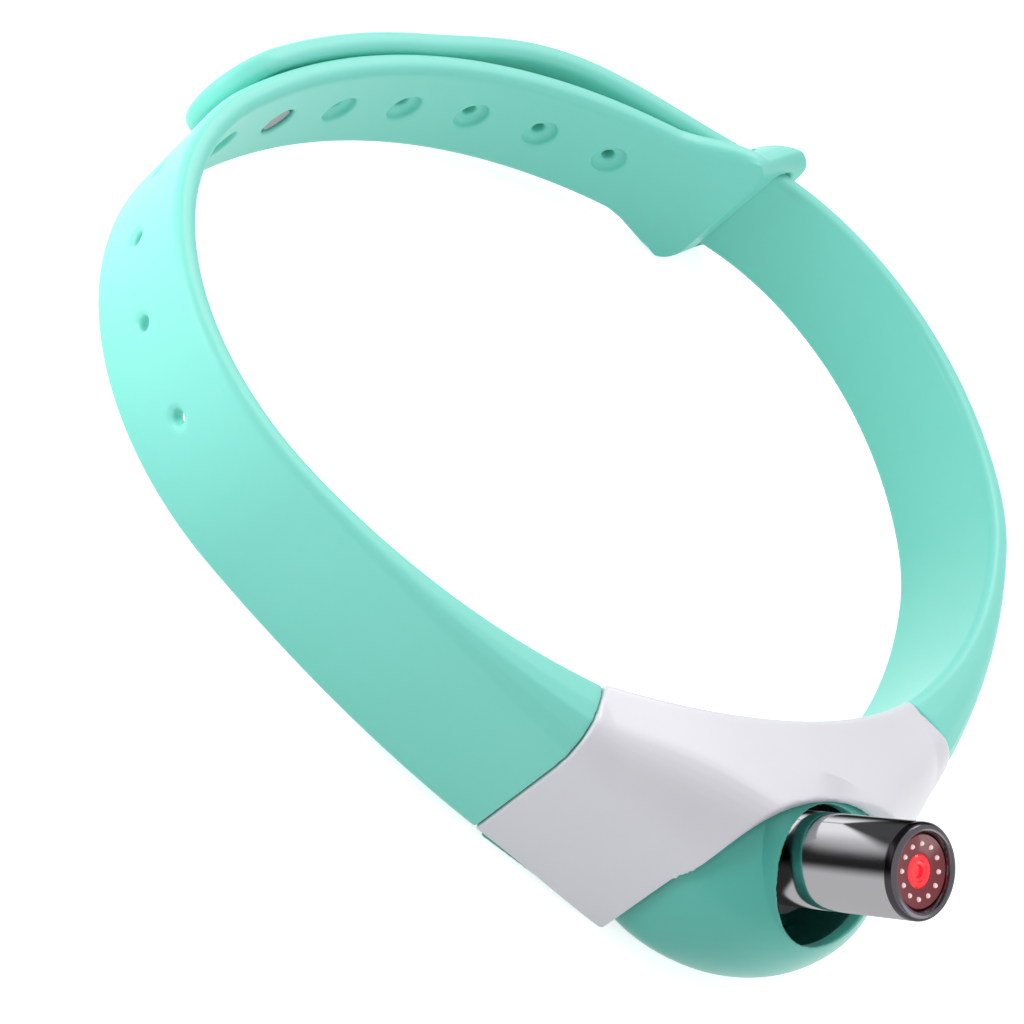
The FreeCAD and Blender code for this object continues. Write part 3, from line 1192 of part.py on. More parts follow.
def main():
    """Build every piece, stand the collar on z = 0 over the origin and write it out."""
    os.makedirs("parts", exist_ok=True)
    pieces = build()
    box = Part.makeCompound(list(pieces.values())).optimalBoundingBox(False, False)
    shift = V(0, -round(box.Center.y, 1), -box.ZMin)
    for name, shape in pieces.items():
        shape.translate(shift)
        shape.exportStep("parts/%s.step" % name)
        print("%-14s solids %d valid %s" % (name, len(shape.Solids), shape.isValid()))
    print("shift", [round(v, 3) for v in shift])
    print("size", [round(v, 2) for v in (box.XLength, box.YLength, box.ZLength)])
    points = {"flex": flex_point(), "plug": plug_hinge(), "idler": V(0, IDLER_Y, IDLER_Z),
              "motor": V(0, MOTOR_Y, MOTOR_Z), "pivot": V(0, PIVOT_Y, PIVOT_Z),
              "button": at_loop(-BUTTON_AT, BUTTON_OFFSET, BASE_BOTTOM)}
    for label, point in points.items():
        print(label, [round(v, 3) for v in point + shift])


main()
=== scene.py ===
"""Cat collar with a swinging laser barrel, dressed for the camera.

Every piece is modelled in millimetres and moved into the frame in metres. The straps are
modelled straight, as they leave the mould, and then laid round the neck loop.
"""
import logging
import math
from dataclasses import dataclass, field
from enum import Enum
from typing import Callable

import bpy
from mathutils import Matrix, Vector


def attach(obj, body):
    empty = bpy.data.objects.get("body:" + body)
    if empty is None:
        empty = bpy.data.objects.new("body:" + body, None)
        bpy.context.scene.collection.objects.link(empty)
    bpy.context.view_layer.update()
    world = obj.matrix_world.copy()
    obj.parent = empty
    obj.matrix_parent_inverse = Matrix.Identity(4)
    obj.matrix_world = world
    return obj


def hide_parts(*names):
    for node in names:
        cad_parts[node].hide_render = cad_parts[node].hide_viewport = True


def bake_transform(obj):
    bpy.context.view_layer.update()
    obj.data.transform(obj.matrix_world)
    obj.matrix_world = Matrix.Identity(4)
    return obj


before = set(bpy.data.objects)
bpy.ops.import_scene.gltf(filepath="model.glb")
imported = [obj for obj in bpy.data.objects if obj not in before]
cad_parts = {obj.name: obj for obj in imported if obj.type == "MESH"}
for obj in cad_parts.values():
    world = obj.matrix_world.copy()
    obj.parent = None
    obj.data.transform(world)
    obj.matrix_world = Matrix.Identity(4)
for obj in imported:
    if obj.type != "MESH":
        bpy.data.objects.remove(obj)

LOG = logging.getLogger("collar")
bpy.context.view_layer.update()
MM = 0.001
LOOP_PLACE = Vector((0.0, 18.0, 8.4))   # middle of the neck loop in the frame, in mm


# --------------------------------------------------------------------------- node helpers
def linear(colour: str) -> tuple[float, float, float, float]:
    """Turns an sRGB hex colour into linear values.

    Args:
        colour: Six hex digits with a leading hash.

    Returns:
        Red, green, blue and an alpha of 1, all linear.
    """
    parts = [int(colour[i:i + 2], 16) / 255 for i in (1, 3, 5)]
    flat = [p / 12.92 if p <= 0.04045 else ((p + 0.055) / 1.055) ** 2.4 for p in parts]
    return flat[0], flat[1], flat[2], 1.0


def per_mm(size: float) -> float:
    """Scale of a pattern on Object coordinates whose features are size mm apart."""
    return 1.0 / (size * MM)


def add(tree: bpy.types.NodeTree, kind: str, inputs: dict | None = None, **settings) -> bpy.types.Node:
    """Adds one node with its settings, input values and links.

    Args:
        tree: Node tree that gets the node.
        kind: Blender's name for the node, without "ShaderNode".
        inputs: Value or output socket for each input, by name or number.
        **settings: Attributes of the node.

    Returns:
        The new node.
    """
    node = tree.nodes.new("ShaderNode" + kind)
    for name, value in settings.items():
        setattr(node, name, value)
    for key, value in (inputs or {}).items():
        if isinstance(value, bpy.types.NodeSocket):
            tree.links.new(value, node.inputs[key])
        else:
            node.inputs[key].default_value = value
    return node


def blank(name: str) -> tuple[bpy.types.Material, bpy.types.NodeTree]:
    """New node material with nothing in it but its output."""
    material = bpy.data.materials.new(name)
    material.use_nodes = True
    tree = material.node_tree
    tree.nodes.clear()
    return material, tree


# --------------------------------------------------------------------------- finishes
class Patterns:
    """Material under way, with the patterns that several finishes draw on the object itself."""

    def __init__(self, name: str) -> None:
        """Starts an empty material.

        Args:
            name: Name of the material.
        """
        self.material, self.tree = blank(name)
        self.place = add(self.tree, "TexCoord").outputs["Object"]

    def noise(self, size: float, detail: float) -> bpy.types.NodeSocket:
        """Soft noise whose features are size mm apart."""
        return add(self.tree, "TexNoise", {"Vector": self.place, "Scale": per_mm(size),
                                           "Detail": detail}).outputs["Fac"]

    def between(self, share: bpy.types.NodeSocket, low: float, high: float) -> bpy.types.NodeSocket:
        """Value that runs from low to high with a pattern."""
        return add(self.tree, "MapRange", {"Value": share, 3: low, 4: high}).outputs[0]

    def tint(self, share: bpy.types.NodeSocket, shade: str, colour: str) -> bpy.types.NodeSocket:
        """Colour that runs from a shade to the full colour with a pattern."""
        return add(self.tree, "Mix", {0: share, 6: linear(shade), 7: linear(colour)},
                   data_type="RGBA").outputs[2]

    def surface(self, height: bpy.types.NodeSocket, strength: float, depth: float, inputs: dict,
                **settings) -> bpy.types.Material:
        """Finishes the material with a surface and its relief.

        Args:
            height: Pattern that raises the surface.
            strength: Strength of the relief.
            depth: Depth of the relief in millimetres.
            inputs: Values and patterns of the surface, by name.
            **settings: Attributes of the relief's node.

        Returns:
            The finished material.
        """
        bump = add(self.tree, "Bump", {"Height": height, "Strength": strength, "Distance": depth * MM},
                   **settings)
        shader = add(self.tree, "BsdfPrincipled", {**inputs, "Normal": bump.outputs[0]})
        add(self.tree, "OutputMaterial", {"Surface": shader.outputs[0]})
        return self.material


@dataclass(frozen=True)
class Silicone:
    """Compression-moulded silicone rubber: soft satin skin that glows a little at thin edges."""

    name: str = "silicone_mint"
    colour: str = "#8AE8DA"
    shade: str = "#83E1D2"
    flow_mm: float = 24.0
    grain_mm: float = 0.35
    depth_mm: float = 0.9

    def build(self) -> bpy.types.Material:
        """Makes satin rubber with faint flow marks and a fine skin."""
        draw = Patterns(self.name)
        # Flow marks of the moulding, a few centimetres long, give the eye slow colour changes.
        flow = draw.noise(self.flow_mm, 3.0)
        # The fine skin of the mould breaks up the highlight.
        return draw.surface(draw.noise(self.grain_mm, 2.0), 0.06, 0.05, {
            "Base Color": draw.tint(flow, self.shade, self.colour),
            "Roughness": draw.between(flow, 0.36, 0.44), "IOR": 1.41, "Subsurface Weight": 0.18,
            "Subsurface Scale": self.depth_mm * MM, "Subsurface Radius": (0.5, 1.0, 0.85)})


@dataclass(frozen=True)
class MouldedAbs:
    """Injection-moulded ABS: smooth satin plastic with a trace of mould texture."""

    name: str
    colour: str
    shade: str
    roughness: float = 0.32
    grain_mm: float = 0.25
    grain: float = 0.05
    through: float = 0.0
    cloud_mm: float = 14.0

    def build(self) -> bpy.types.Material:
        """Makes satin plastic whose gloss varies slightly from place to place."""
        draw = Patterns(self.name)
        # Uneven cooling gives slow changes of gloss and of tone.
        cloud = draw.noise(self.cloud_mm, 4.0)
        # Spark texture of the mould, drawn as coarse as it needs to show.
        return draw.surface(draw.noise(self.grain_mm, 2.0), self.grain, 0.04, {
            "Base Color": draw.tint(cloud, self.shade, self.colour),
            "Roughness": draw.between(cloud, self.roughness - 0.04, self.roughness + 0.06),
            "IOR": 1.53, "Subsurface Weight": self.through, "Subsurface Scale": 0.6 * MM})


@dataclass(frozen=True)
class Metal:
    """Turned or plated metal with the fine marks of the tool or the polish."""

    name: str
    colour: str
    roughness: float
    mark_mm: float = 0.12
    mark: float = 0.05
    film_mm: float = 5.0

    def build(self) -> bpy.types.Material:
        """Makes metal whose fine marks break its reflections a little."""
        draw = Patterns(self.name)
        # The fine marks spread each reflection, and a thin film makes its gloss uneven.
        return draw.surface(draw.noise(self.mark_mm, 3.0), self.mark, 0.01, {
            "Base Color": linear(self.colour), "Metallic": 1.0,
            "Roughness": draw.between(draw.noise(self.film_mm, 3.0), self.roughness * 0.8,
                                      self.roughness * 1.3)})


@dataclass(frozen=True)
class ClearPlastic:
    """Moulded clear or tinted acrylic; its glow is painted light, an emission that shines with no lamp
    behind it.
    """

    name: str
    colour: str
    roughness: float = 0.08
    glow: float = 0.0
    sink_mm: float = 1.2

    def build(self) -> bpy.types.Material:
        """Makes tinted acrylic."""
        draw = Patterns(self.name)
        # The glow is painted light: the tint is emitted at the glow's strength, so the piece shines
        # without a lamp.
        tint = linear(self.colour)
        # Faint sink marks make the highlight swim a little.
        return draw.surface(draw.noise(self.sink_mm, 2.0), 0.12, 0.05, {
            "Base Color": tint, "Roughness": self.roughness, "IOR": 1.49,
            "Transmission Weight": 0.35, "Emission Color": tint, "Emission Strength": self.glow})


@dataclass(frozen=True)
class SolderMask:
    """Glass-epoxy board under solder mask, with its copper tracks showing as a darker weave."""

    name: str = "board_green"
    colour: str = "#12603A"
    track: str = "#1B7A49"
    track_mm: float = 0.8

    def build(self) -> bpy.types.Material:
        """Makes glossy green coating over raised tracks."""
        draw = Patterns(self.name)
        # Lighter lines in a grid read as tracks under the coating.
        tracks = add(draw.tree, "TexBrick", {
            "Vector": draw.place, "Scale": per_mm(2 * self.track_mm), "Mortar Size": 0.12,
            "Color1": linear(self.track), "Color2": linear(self.track), "Mortar": linear(self.colour)})
        return draw.surface(tracks.outputs["Fac"], 0.3, 0.03, {
            "Base Color": tracks.outputs["Color"], "Roughness": 0.28, "IOR": 1.55}, invert=True)


@dataclass(frozen=True)
class PouchFilm:
    """Aluminium laminate film of a pouch cell, slightly crinkled."""

    name: str = "cell_silver"
    colour: str = "#C6C8CC"
    crinkle_mm: float = 1.6

    def build(self) -> bpy.types.Material:
        """Makes soft metal film with shallow crinkles."""
        draw = Patterns(self.name)
        # Rounded cells read as the crinkles of a pressed foil.
        crinkle = add(draw.tree, "TexVoronoi", {"Vector": draw.place, "Scale": per_mm(self.crinkle_mm)},
                      feature="SMOOTH_F1")
        return draw.surface(crinkle.outputs["Distance"], 0.35, 0.1, {
            "Base Color": linear(self.colour), "Metallic": 0.9, "Roughness": 0.38})


SILICONE = Silicone()
WHITE_ABS = MouldedAbs("shell_white", "#E7E7ED", "#E0E0E7", 0.34, through=0.05)
MINT_ABS = MouldedAbs("shell_mint", "#56BFB1", "#4CB5A7", 0.30, through=0.1)
BUTTON_ABS = MouldedAbs("button_white", "#EDEDF2", "#E4E4EA", 0.28)
BRIGHT_CHROME = Metal("tube_bright", "#DEDEE2", 0.09, 0.1, 0.02)
DARK_CHROME = Metal("bezel_dark", "#5E5A60", 0.16, 0.1, 0.03)
STEEL = Metal("steel_bright", "#B9BBC0", 0.24)
BRASS = Metal("brass_turned", "#C9A257", 0.26)
RING_ABS = MouldedAbs("ring_red", "#8A0C22", "#74081B", 0.12)
# The lens's glow is painted light: it shines bright red by its own emission, with no lamp inside.
PAINTED_GLOW_LENS = ClearPlastic("lens_red", "#FF2430", 0.10, 0.75)
# Painted glints: pale glowing dots that stand in for the highlights on the ring's raised dots.
PAINTED_GLINT = ClearPlastic("ring_dots_painted_glint", "#FFE3E3", 0.12, 0.45)
PIPE = ClearPlastic("pipe_clear", "#E8EDED", 0.10)
ACETAL = MouldedAbs("gear_natural", "#EEEBDD", "#E6E2D0", 0.42, through=0.1)
NYLON = MouldedAbs("frame_grey", "#4A4E50", "#3F4345", 0.48)
CHIP_EPOXY = MouldedAbs("chip_black", "#17171A", "#101013", 0.45)
PLUG_SILICONE = Silicone("plug_mint")
JACKET_RED = MouldedAbs("lead_red", "#B3262B", "#A01F25", 0.36)
BOARD = SolderMask()
CELL = PouchFilm()


class Wardrobe:
    """Builds each finish once and hands it out."""

    def __init__(self) -> None:
        """Starts with no finish built."""
        self.made: dict[str, bpy.types.Material] = {}

    def get(self, finish) -> bpy.types.Material:
        """The finish's material, built on first use."""
        if finish.name not in self.made:
            self.made[finish.name] = finish.build()
        return self.made[finish.name]

    def dress(self, piece: bpy.types.Object, finish) -> None:
        """Gives a whole piece one finish.

        Args:
            piece: Mesh object, new or from the frame.
            finish: One of the finishes above.
        """
        material = self.get(finish)
        if not piece.material_slots:
            piece.data.materials.append(material)
        for holder in piece.material_slots:
            holder.material = material


WARDROBE = Wardrobe()


# --------------------------------------------------------------------------- modelling bench
class Bench:
    """Modelling steps as done by hand, in millimetres."""

    @staticmethod
    def clear() -> None:
        """Leaves edit mode with nothing selected."""
        if bpy.context.object and bpy.context.object.mode != "OBJECT":
            bpy.ops.object.mode_set(mode="OBJECT")
        bpy.ops.object.select_all(action="DESELECT")

    @staticmethod
    def pick(piece: bpy.types.Object) -> None:
        """Selects one piece and makes it the active one."""
        Bench.clear()
        piece.select_set(True)
        bpy.context.view_layer.objects.active = piece

    @staticmethod
    def bar(name: str, low: tuple, high: tuple) -> bpy.types.Object:
        """Adds a box between two corners.

        Args:
            name: Name of the piece.
            low: Lowest corner.
            high: Highest corner.

        Returns:
            The box, with its place in its mesh.
        """
        Bench.clear()
        middle = [(a + b) / 2 for a, b in zip(low, high)]
        bpy.ops.mesh.primitive_cube_add(size=1, location=middle)
        piece = bpy.context.object
        piece.name = name
        piece.scale = [b - a for a, b in zip(low, high)]
        bpy.ops.object.transform_apply(location=True, rotation=True, scale=True)
        return piece

    @staticmethod
    def choose(piece: bpy.types.Object, kind: str, test: Callable) -> None:
        """Enters edit mode with only the chosen edges or faces selected.

        Args:
            piece: Mesh to work on.
            kind: EDGE or FACE.
            test: Takes an edge's two ends, or a face's middle, and says whether it is chosen.
        """
        Bench.pick(piece)
        bpy.ops.object.mode_set(mode="EDIT")
        bpy.ops.mesh.select_mode(type=kind)
        bpy.ops.mesh.select_all(action="DESELECT")
        bpy.ops.object.mode_set(mode="OBJECT")
        points = piece.data.vertices
        if kind == "FACE":
            for face in piece.data.polygons:
                face.select = test(face.center)
        else:
            for edge in piece.data.edges:
                edge.select = test(*(points[end].co for end in edge.vertices))
        bpy.ops.object.mode_set(mode="EDIT")

    @staticmethod
    def cut_along(piece: bpy.types.Object, cuts: int) -> None:
        """Divides the edges that run along X evenly."""
        Bench.choose(piece, "EDGE", lambda a, b: abs(a.x - b.x) > 0.1)
        bpy.ops.mesh.subdivide(number_cuts=cuts)
        bpy.ops.object.mode_set(mode="OBJECT")

    @staticmethod
    def stretch_end(piece: bpy.types.Object, length: float) -> None:
        """Extrudes the end face at the greatest X by a length."""
        far = max(face.center.x for face in piece.data.polygons)
        Bench.choose(piece, "FACE", lambda middle: middle.x > far - 1e-3)
        bpy.ops.mesh.extrude_region_move(TRANSFORM_OT_translate={"value": (length, 0, 0)})
        bpy.ops.object.mode_set(mode="OBJECT")

    @staticmethod
    def shift(piece: bpy.types.Object, rule: Callable[[Vector], Vector]) -> None:
        """Moves every point of a piece by a rule."""
        for point in piece.data.vertices:
            point.co = rule(point.co.copy())
        piece.data.update()

    @staticmethod
    def round_edges(piece: bpy.types.Object, size: float, test: Callable, steps: int = 4) -> None:
        """Bevels the edges that pass a test.

        Args:
            piece: Mesh to work on.
            size: Width of the bevel.
            test: Takes an edge's two ends and says whether it is rounded.
            steps: Segments of the rounding.
        """
        Bench.choose(piece, "EDGE", test)
        bpy.ops.mesh.bevel(offset=size, segments=steps, affect="EDGES", clamp_overlap=True)
        bpy.ops.object.mode_set(mode="OBJECT")

    @staticmethod
    def turned(name: str, profile: list[tuple[float, float]], sides: int = 96) -> bpy.types.Object:
        """Turns a closed profile about the Z axis, ring by ring.

        Args:
            name: Name of the piece.
            profile: Radius and height of each point; the last one joins the first.
            sides: Sides of the circle.

        Returns:
            The turned ring, closed and facing outwards.
        """
        Bench.clear()
        radius, height = profile[0]
        bpy.ops.mesh.primitive_circle_add(vertices=sides, radius=radius, location=(0, 0, height))
        piece = bpy.context.object
        piece.name = name
        bpy.ops.object.transform_apply(location=True)
        bpy.ops.object.mode_set(mode="EDIT")
        bpy.ops.mesh.select_all(action="SELECT")
        for next_radius, next_height in profile[1:] + profile[:1]:
            share = next_radius / radius
            bpy.ops.mesh.extrude_edges_move(
                TRANSFORM_OT_translate={"value": (0, 0, next_height - height)})
            bpy.ops.transform.resize(value=(share, share, 1), center_override=(0, 0, next_height))
            radius, height = next_radius, next_height
        bpy.ops.mesh.select_all(action="SELECT")
        bpy.ops.mesh.remove_doubles(threshold=0.002)
        bpy.ops.mesh.normals_make_consistent(inside=False)
        bpy.ops.object.mode_set(mode="OBJECT")
        return piece

    @staticmethod
    def apply(piece: bpy.types.Object, kind: str, **settings) -> None:
        """Adds a modifier with its settings and applies it."""
        Bench.pick(piece)
        modifier = piece.modifiers.new(kind.lower(), kind)
        for name, value in settings.items():
            setattr(modifier, name, value)
        bpy.ops.object.modifier_apply(modifier=modifier.name)

    @staticmethod
    def combine(piece: bpy.types.Object, tool: bpy.types.Object, how: str) -> None:
        """Joins or cuts a piece with a tool, which is then removed.

        Args:
            piece: Piece that is kept.
            tool: Piece that is used up.
            how: UNION, DIFFERENCE or INTERSECT.
        """
        Bench.apply(piece, "BOOLEAN", object=tool, operation=how, solver="EXACT")
        bpy.data.objects.remove(tool)

    @staticmethod
    def soften(piece: bpy.types.Object, grid: float, rounds: int, kept: float,
               bent: Callable[[Vector], Vector] | None = None) -> None:
        """Turns a piece into one even skin and relaxes its edges, as moulding does.

        Args:
            piece: Closed piece in millimetres.
            grid: Size of the new faces.
            rounds: Smoothing steps.
            kept: Share of the faces that are kept afterwards.
            bent: Rule that bends the piece before its faces are thinned out.
        """
        Bench.apply(piece, "REMESH", mode="VOXEL", voxel_size=grid, use_smooth_shade=True)
        Bench.apply(piece, "SMOOTH", factor=0.5, iterations=rounds)
        if bent:
            Bench.shift(piece, bent)
        Bench.apply(piece, "DECIMATE", ratio=kept)

    @staticmethod
    def turn_out(piece: bpy.types.Object) -> None:
        """Turns all faces outwards."""
        Bench.pick(piece)
        bpy.ops.object.mode_set(mode="EDIT")
        bpy.ops.mesh.select_all(action="SELECT")
        bpy.ops.mesh.normals_make_consistent(inside=False)
        bpy.ops.object.mode_set(mode="OBJECT")

    @staticmethod
    def finish(piece: bpy.types.Object, angle: float = 180.0) -> None:
        """Turns a piece's faces outwards and shades it smooth up to an angle."""
        Bench.turn_out(piece)
        bpy.ops.object.shade_smooth_by_angle(angle=math.radians(angle))

    @staticmethod
    def to_metres(piece: bpy.types.Object) -> None:
        """Brings a finished shape from millimetres to the frame's metres."""
        Bench.shift(piece, lambda point: point * MM)

    @staticmethod
    def copy_of_node(name: str, node: str) -> bpy.types.Object:
        """Copies a frame node as one welded mesh in millimetres.

        Args:
            name: Name of the copy.
            node: Name of the node in the frame.

        Returns:
            The copy, with its triangles joined to each other.
        """
        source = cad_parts[node]
        piece = bpy.data.objects.new(name, source.data.copy())
        bpy.context.scene.collection.objects.link(piece)
        piece.data.transform(Matrix.Scale(1 / MM, 4))
        piece.data.materials.clear()
        Bench.pick(piece)
        bpy.ops.object.mode_set(mode="EDIT")
        bpy.ops.mesh.select_all(action="SELECT")
        bpy.ops.mesh.remove_doubles(threshold=0.0005)
        bpy.ops.object.mode_set(mode="OBJECT")
        return piece


def publish(piece: bpy.types.Object, body: str, finish, slot: str, *nodes: str) -> None:
    """Dresses a finished piece and lets it take its nodes' place.

    Args:
        piece: Finished mesh, in metres, in place.
        body: Body that it rides on.
        finish: Its finish.
        slot: Material slot of the record; not used.
        *nodes: Frame nodes that it stands for.
    """
    WARDROBE.dress(piece, finish)
    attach(piece, body)
    if nodes:
        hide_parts(*nodes)
    LOG.info("%s: %d faces on %s", piece.name, len(piece.data.polygons), body)


# --------------------------------------------------------------------------- neck loop
@dataclass
class NeckLoop:
    """Oval of three arcs a side that the strap's middle line follows, in millimetres."""

    half_width: float = 47.9
    front: float = 45.5
    back: float = 25.9
    side_radius: float = 27.6
    side_y: float = -7.0
    thickness: float = 2.3
    side_x: float = field(init=False)
    front_radius: float = field(init=False)
    back_radius: float = field(init=False)

    def __post_init__(self) -> None:
        """Works out the front and back arcs from the side arcs."""
        self.side_x = self.half_width - self.side_radius
        self.front_radius = self._joined(self.side_y + self.front)
        self.back_radius = self._joined(self.back - self.side_y)
        self.front_y = self.front_radius - self.front
        self.back_y = self.back - self.back_radius
        self.front_turn = math.atan2(self.side_x, self.front_y - self.side_y)
        self.back_turn = math.pi - math.atan2(self.side_x, self.side_y - self.back_y)
        half = self.thickness / 2
        self.front_run = (self.front_radius + half) * self.front_turn
        self.side_run = self.front_run + (self.side_radius + half) * (self.back_turn - self.front_turn)
        self.half_run = self.side_run + (self.back_radius + half) * (math.pi - self.back_turn)

    def _joined(self, reach: float) -> float:
        """Radius of a front or back arc that runs smoothly into the side arcs."""
        apart = self.side_x ** 2 + reach ** 2 - self.side_radius ** 2
        return apart / (2 * (reach - self.side_radius))

    def point(self, run: float, offset: float, height: float) -> Vector:
        """Place of a point beside the strap's middle line.

        Args:
            run: Distance from the pod's middle along the strap, positive round the +X side.
            offset: Distance outwards from the middle line.
            height: Height above the loop's middle plane.

        Returns:
            The point in the frame, in millimetres.
        """
        side = 1.0 if run >= 0 else -1.0
        run = abs(run)
        if run > self.half_run:
            run = 2 * self.half_run - run
            side = -side
        half = self.thickness / 2
        if run < self.front_run:
            radius = self.front_radius + half
            turn = run / radius
            centre = (0.0, self.front_y)
        elif run < self.side_run:
            radius = self.side_radius + half
            turn = self.front_turn + (run - self.front_run) / radius
            centre = (self.side_x, self.side_y)
        else:
            radius = self.back_radius + half
            turn = self.back_turn + (run - self.side_run) / radius
            centre = (0.0, self.back_y)
        across = centre[0] + (radius + offset) * math.sin(turn)
        along = centre[1] - (radius + offset) * math.cos(turn)
        return Vector((side * across, along, height)) + LOOP_PLACE


LOOP = NeckLoop()


def ease(value: float, start: float, end: float) -> float:
    """0 before start, 1 after end and an even S curve between them."""
    part = min(1.0, max(0.0, (value - start) / (end - start)))
    return part * part * (3 - 2 * part)


# --------------------------------------------------------------------------- straps
def at_end(a: Vector, b: Vector, end: float) -> bool:
    """Whether an edge between two points lies level at a strap's end."""
    return min(a.x, b.x) > end - 0.1 and abs(a.z - b.z) < 0.1


def through_strap(name: str, profile: list[tuple[float, float]], sides: int,
                  run: float) -> bpy.types.Object:
    """Turns a tool about an axis that goes straight through the strap.

    Args:
        name: Name of the tool.
        profile: Radius and distance outwards of each point.
        sides: Sides of the circle.
        run: Place of the axis along the strap.

    Returns:
        The tool, standing through the strap.
    """
    tool = Bench.turned(name, profile, sides)
    tool.data.transform(Matrix.Rotation(math.radians(-90), 4, "X"))
    tool.data.transform(Matrix.Translation((run, 0, 0)))
    return tool


@dataclass
class StrapShape:
    """Sizes that both straps share, in millimetres."""

    width: float = 12.0
    thickness: float = 2.3
    edge: float = 0.85
    seam: float = 22.2
    seam_gap: float = 0.12
    lean: float = 1.95
    thick_flare: float = 30.0
    wide_flare: float = 44.0
    seam_thickness: float = 7.4
    seam_low: float = 7.1
    seam_top: float = 8.4
    ridge_rise: float = 0.5
    ridge_radius: float = 4.6
    pocket: tuple = ((-4.0, 0.9, -4.7), (4.8, 4.2, 4.7))
    slice: float = 2.0
    grid: float = 0.16
    rounds: int = 12
    kept: float = 0.42

    @property
    def half(self) -> float:
        """Half of the strap's thickness."""
        return self.thickness / 2

    def thickened(self, run: float) -> float:
        """Share of the growth in thickness: 1 at the pod's seam, fading to 0 along the strap."""
        return max(0.0, 1 - max(0.0, run - self.seam) / self.thick_flare) ** 2

    def widened(self, run: float) -> float:
        """Share of the growth in width, from 1 at the pod's seam."""
        return math.exp(-(max(0.0, run - self.seam) / self.wide_flare) ** 2)

    def blank(self, name: str, end: float, tip: float = 0.0) -> bpy.types.Object:
        """Straight strap of one section, sliced along its length so that it can be bent.

        Args:
            name: Name of the piece.
            end: Where it ends, measured along the strap from the pod's middle.
            tip: Length of the rounded tip, or 0 for a square end.

        Returns:
            The strap, with its long edges rounded.
        """
        wide = self.width / 2
        start = self.seam - 2 * self.lean
        piece = Bench.bar(name, (start, -self.half, -wide), (end - tip, self.half, wide))
        Bench.cut_along(piece, round((end - start) / self.slice))
        if tip:
            Bench.stretch_end(piece, tip)
            Bench.round_edges(piece, wide - 0.05, lambda a, b: at_end(a, b, end), 16)

        def on_rim(a: Vector, b: Vector) -> bool:
            """Whether an edge runs along the strap's rim."""
            level = abs(a.y - b.y) < 1e-4 and abs(abs(a.y) - self.half) < 1e-4
            return level and (abs(abs(a.z + b.z) / 2 - wide) < 1e-3 or min(a.x, b.x) > end - tip - 0.1)

        Bench.round_edges(piece, self.edge, on_rim)
        return piece

    def grow(self, point: Vector, spread: float = 0.0) -> Vector:
        """Moves a point of the even strap to where the growing section has it.

        Args:
            point: Point of the straight strap: along it, outwards and up.
            spread: Extra half width.

        Returns:
            The point of the grown strap, with its corners' own roundings.
        """
        run, out, up = point
        thick, wide = self.thickened(run), self.width / 2
        outer = self.half + (self.seam_thickness - self.thickness) * thick
        tall = wide + spread + ((self.seam_top if up > 0 else self.seam_low) - wide) * self.widened(run)
        ridge = self.edge + (self.ridge_radius - self.edge) * thick if up > 0 else self.edge
        if out > self.half - self.edge:
            new_out = outer - (self.half - out) * ridge / self.edge
        else:
            share = max(0.0, out + self.half - self.edge) / (self.thickness - 2 * self.edge)
            new_out = min(out, self.edge - self.half) + share * (outer - ridge - self.edge + self.half)
        corner = ridge if out > 0 else self.edge
        below = wide - abs(up)
        if below < self.edge:
            new_up = tall - below * corner / self.edge
        else:
            new_up = abs(up) * (tall - corner) / (wide - self.edge)
        if up > 0:
            across = (new_out + self.half) / (outer + self.half)
            new_up += self.ridge_rise * thick * across * new_up / tall
        return Vector((run, new_out, math.copysign(new_up, up)))

    def cut_seam(self, strap: bpy.types.Object) -> None:
        """Cuts the pocket for the pod's lug, and the end that leans back on the neck side."""
        low, high = ((self.seam + x, y, z) for x, y, z in self.pocket)
        Bench.combine(strap, Bench.bar("pocket", low, high), "DIFFERENCE")
        outer = self.seam_thickness - self.half
        end = Bench.bar("end", (self.seam - 20, -9, -12), (self.seam + self.seam_gap, 12, 12))
        Bench.shift(end, lambda p: Vector(
            (p.x + (p.y - outer) * self.lean / self.seam_thickness, p.y, p.z)))
        Bench.combine(strap, end, "DIFFERENCE")

    def lay(self, strap: bpy.types.Object, bent: Callable[[Vector], Vector]) -> None:
        """Softens a straight strap, bends it by a rule and brings it to the frame."""
        Bench.soften(strap, self.grid, self.rounds, self.kept, bent)
        Bench.to_metres(strap)
        Bench.finish(strap)


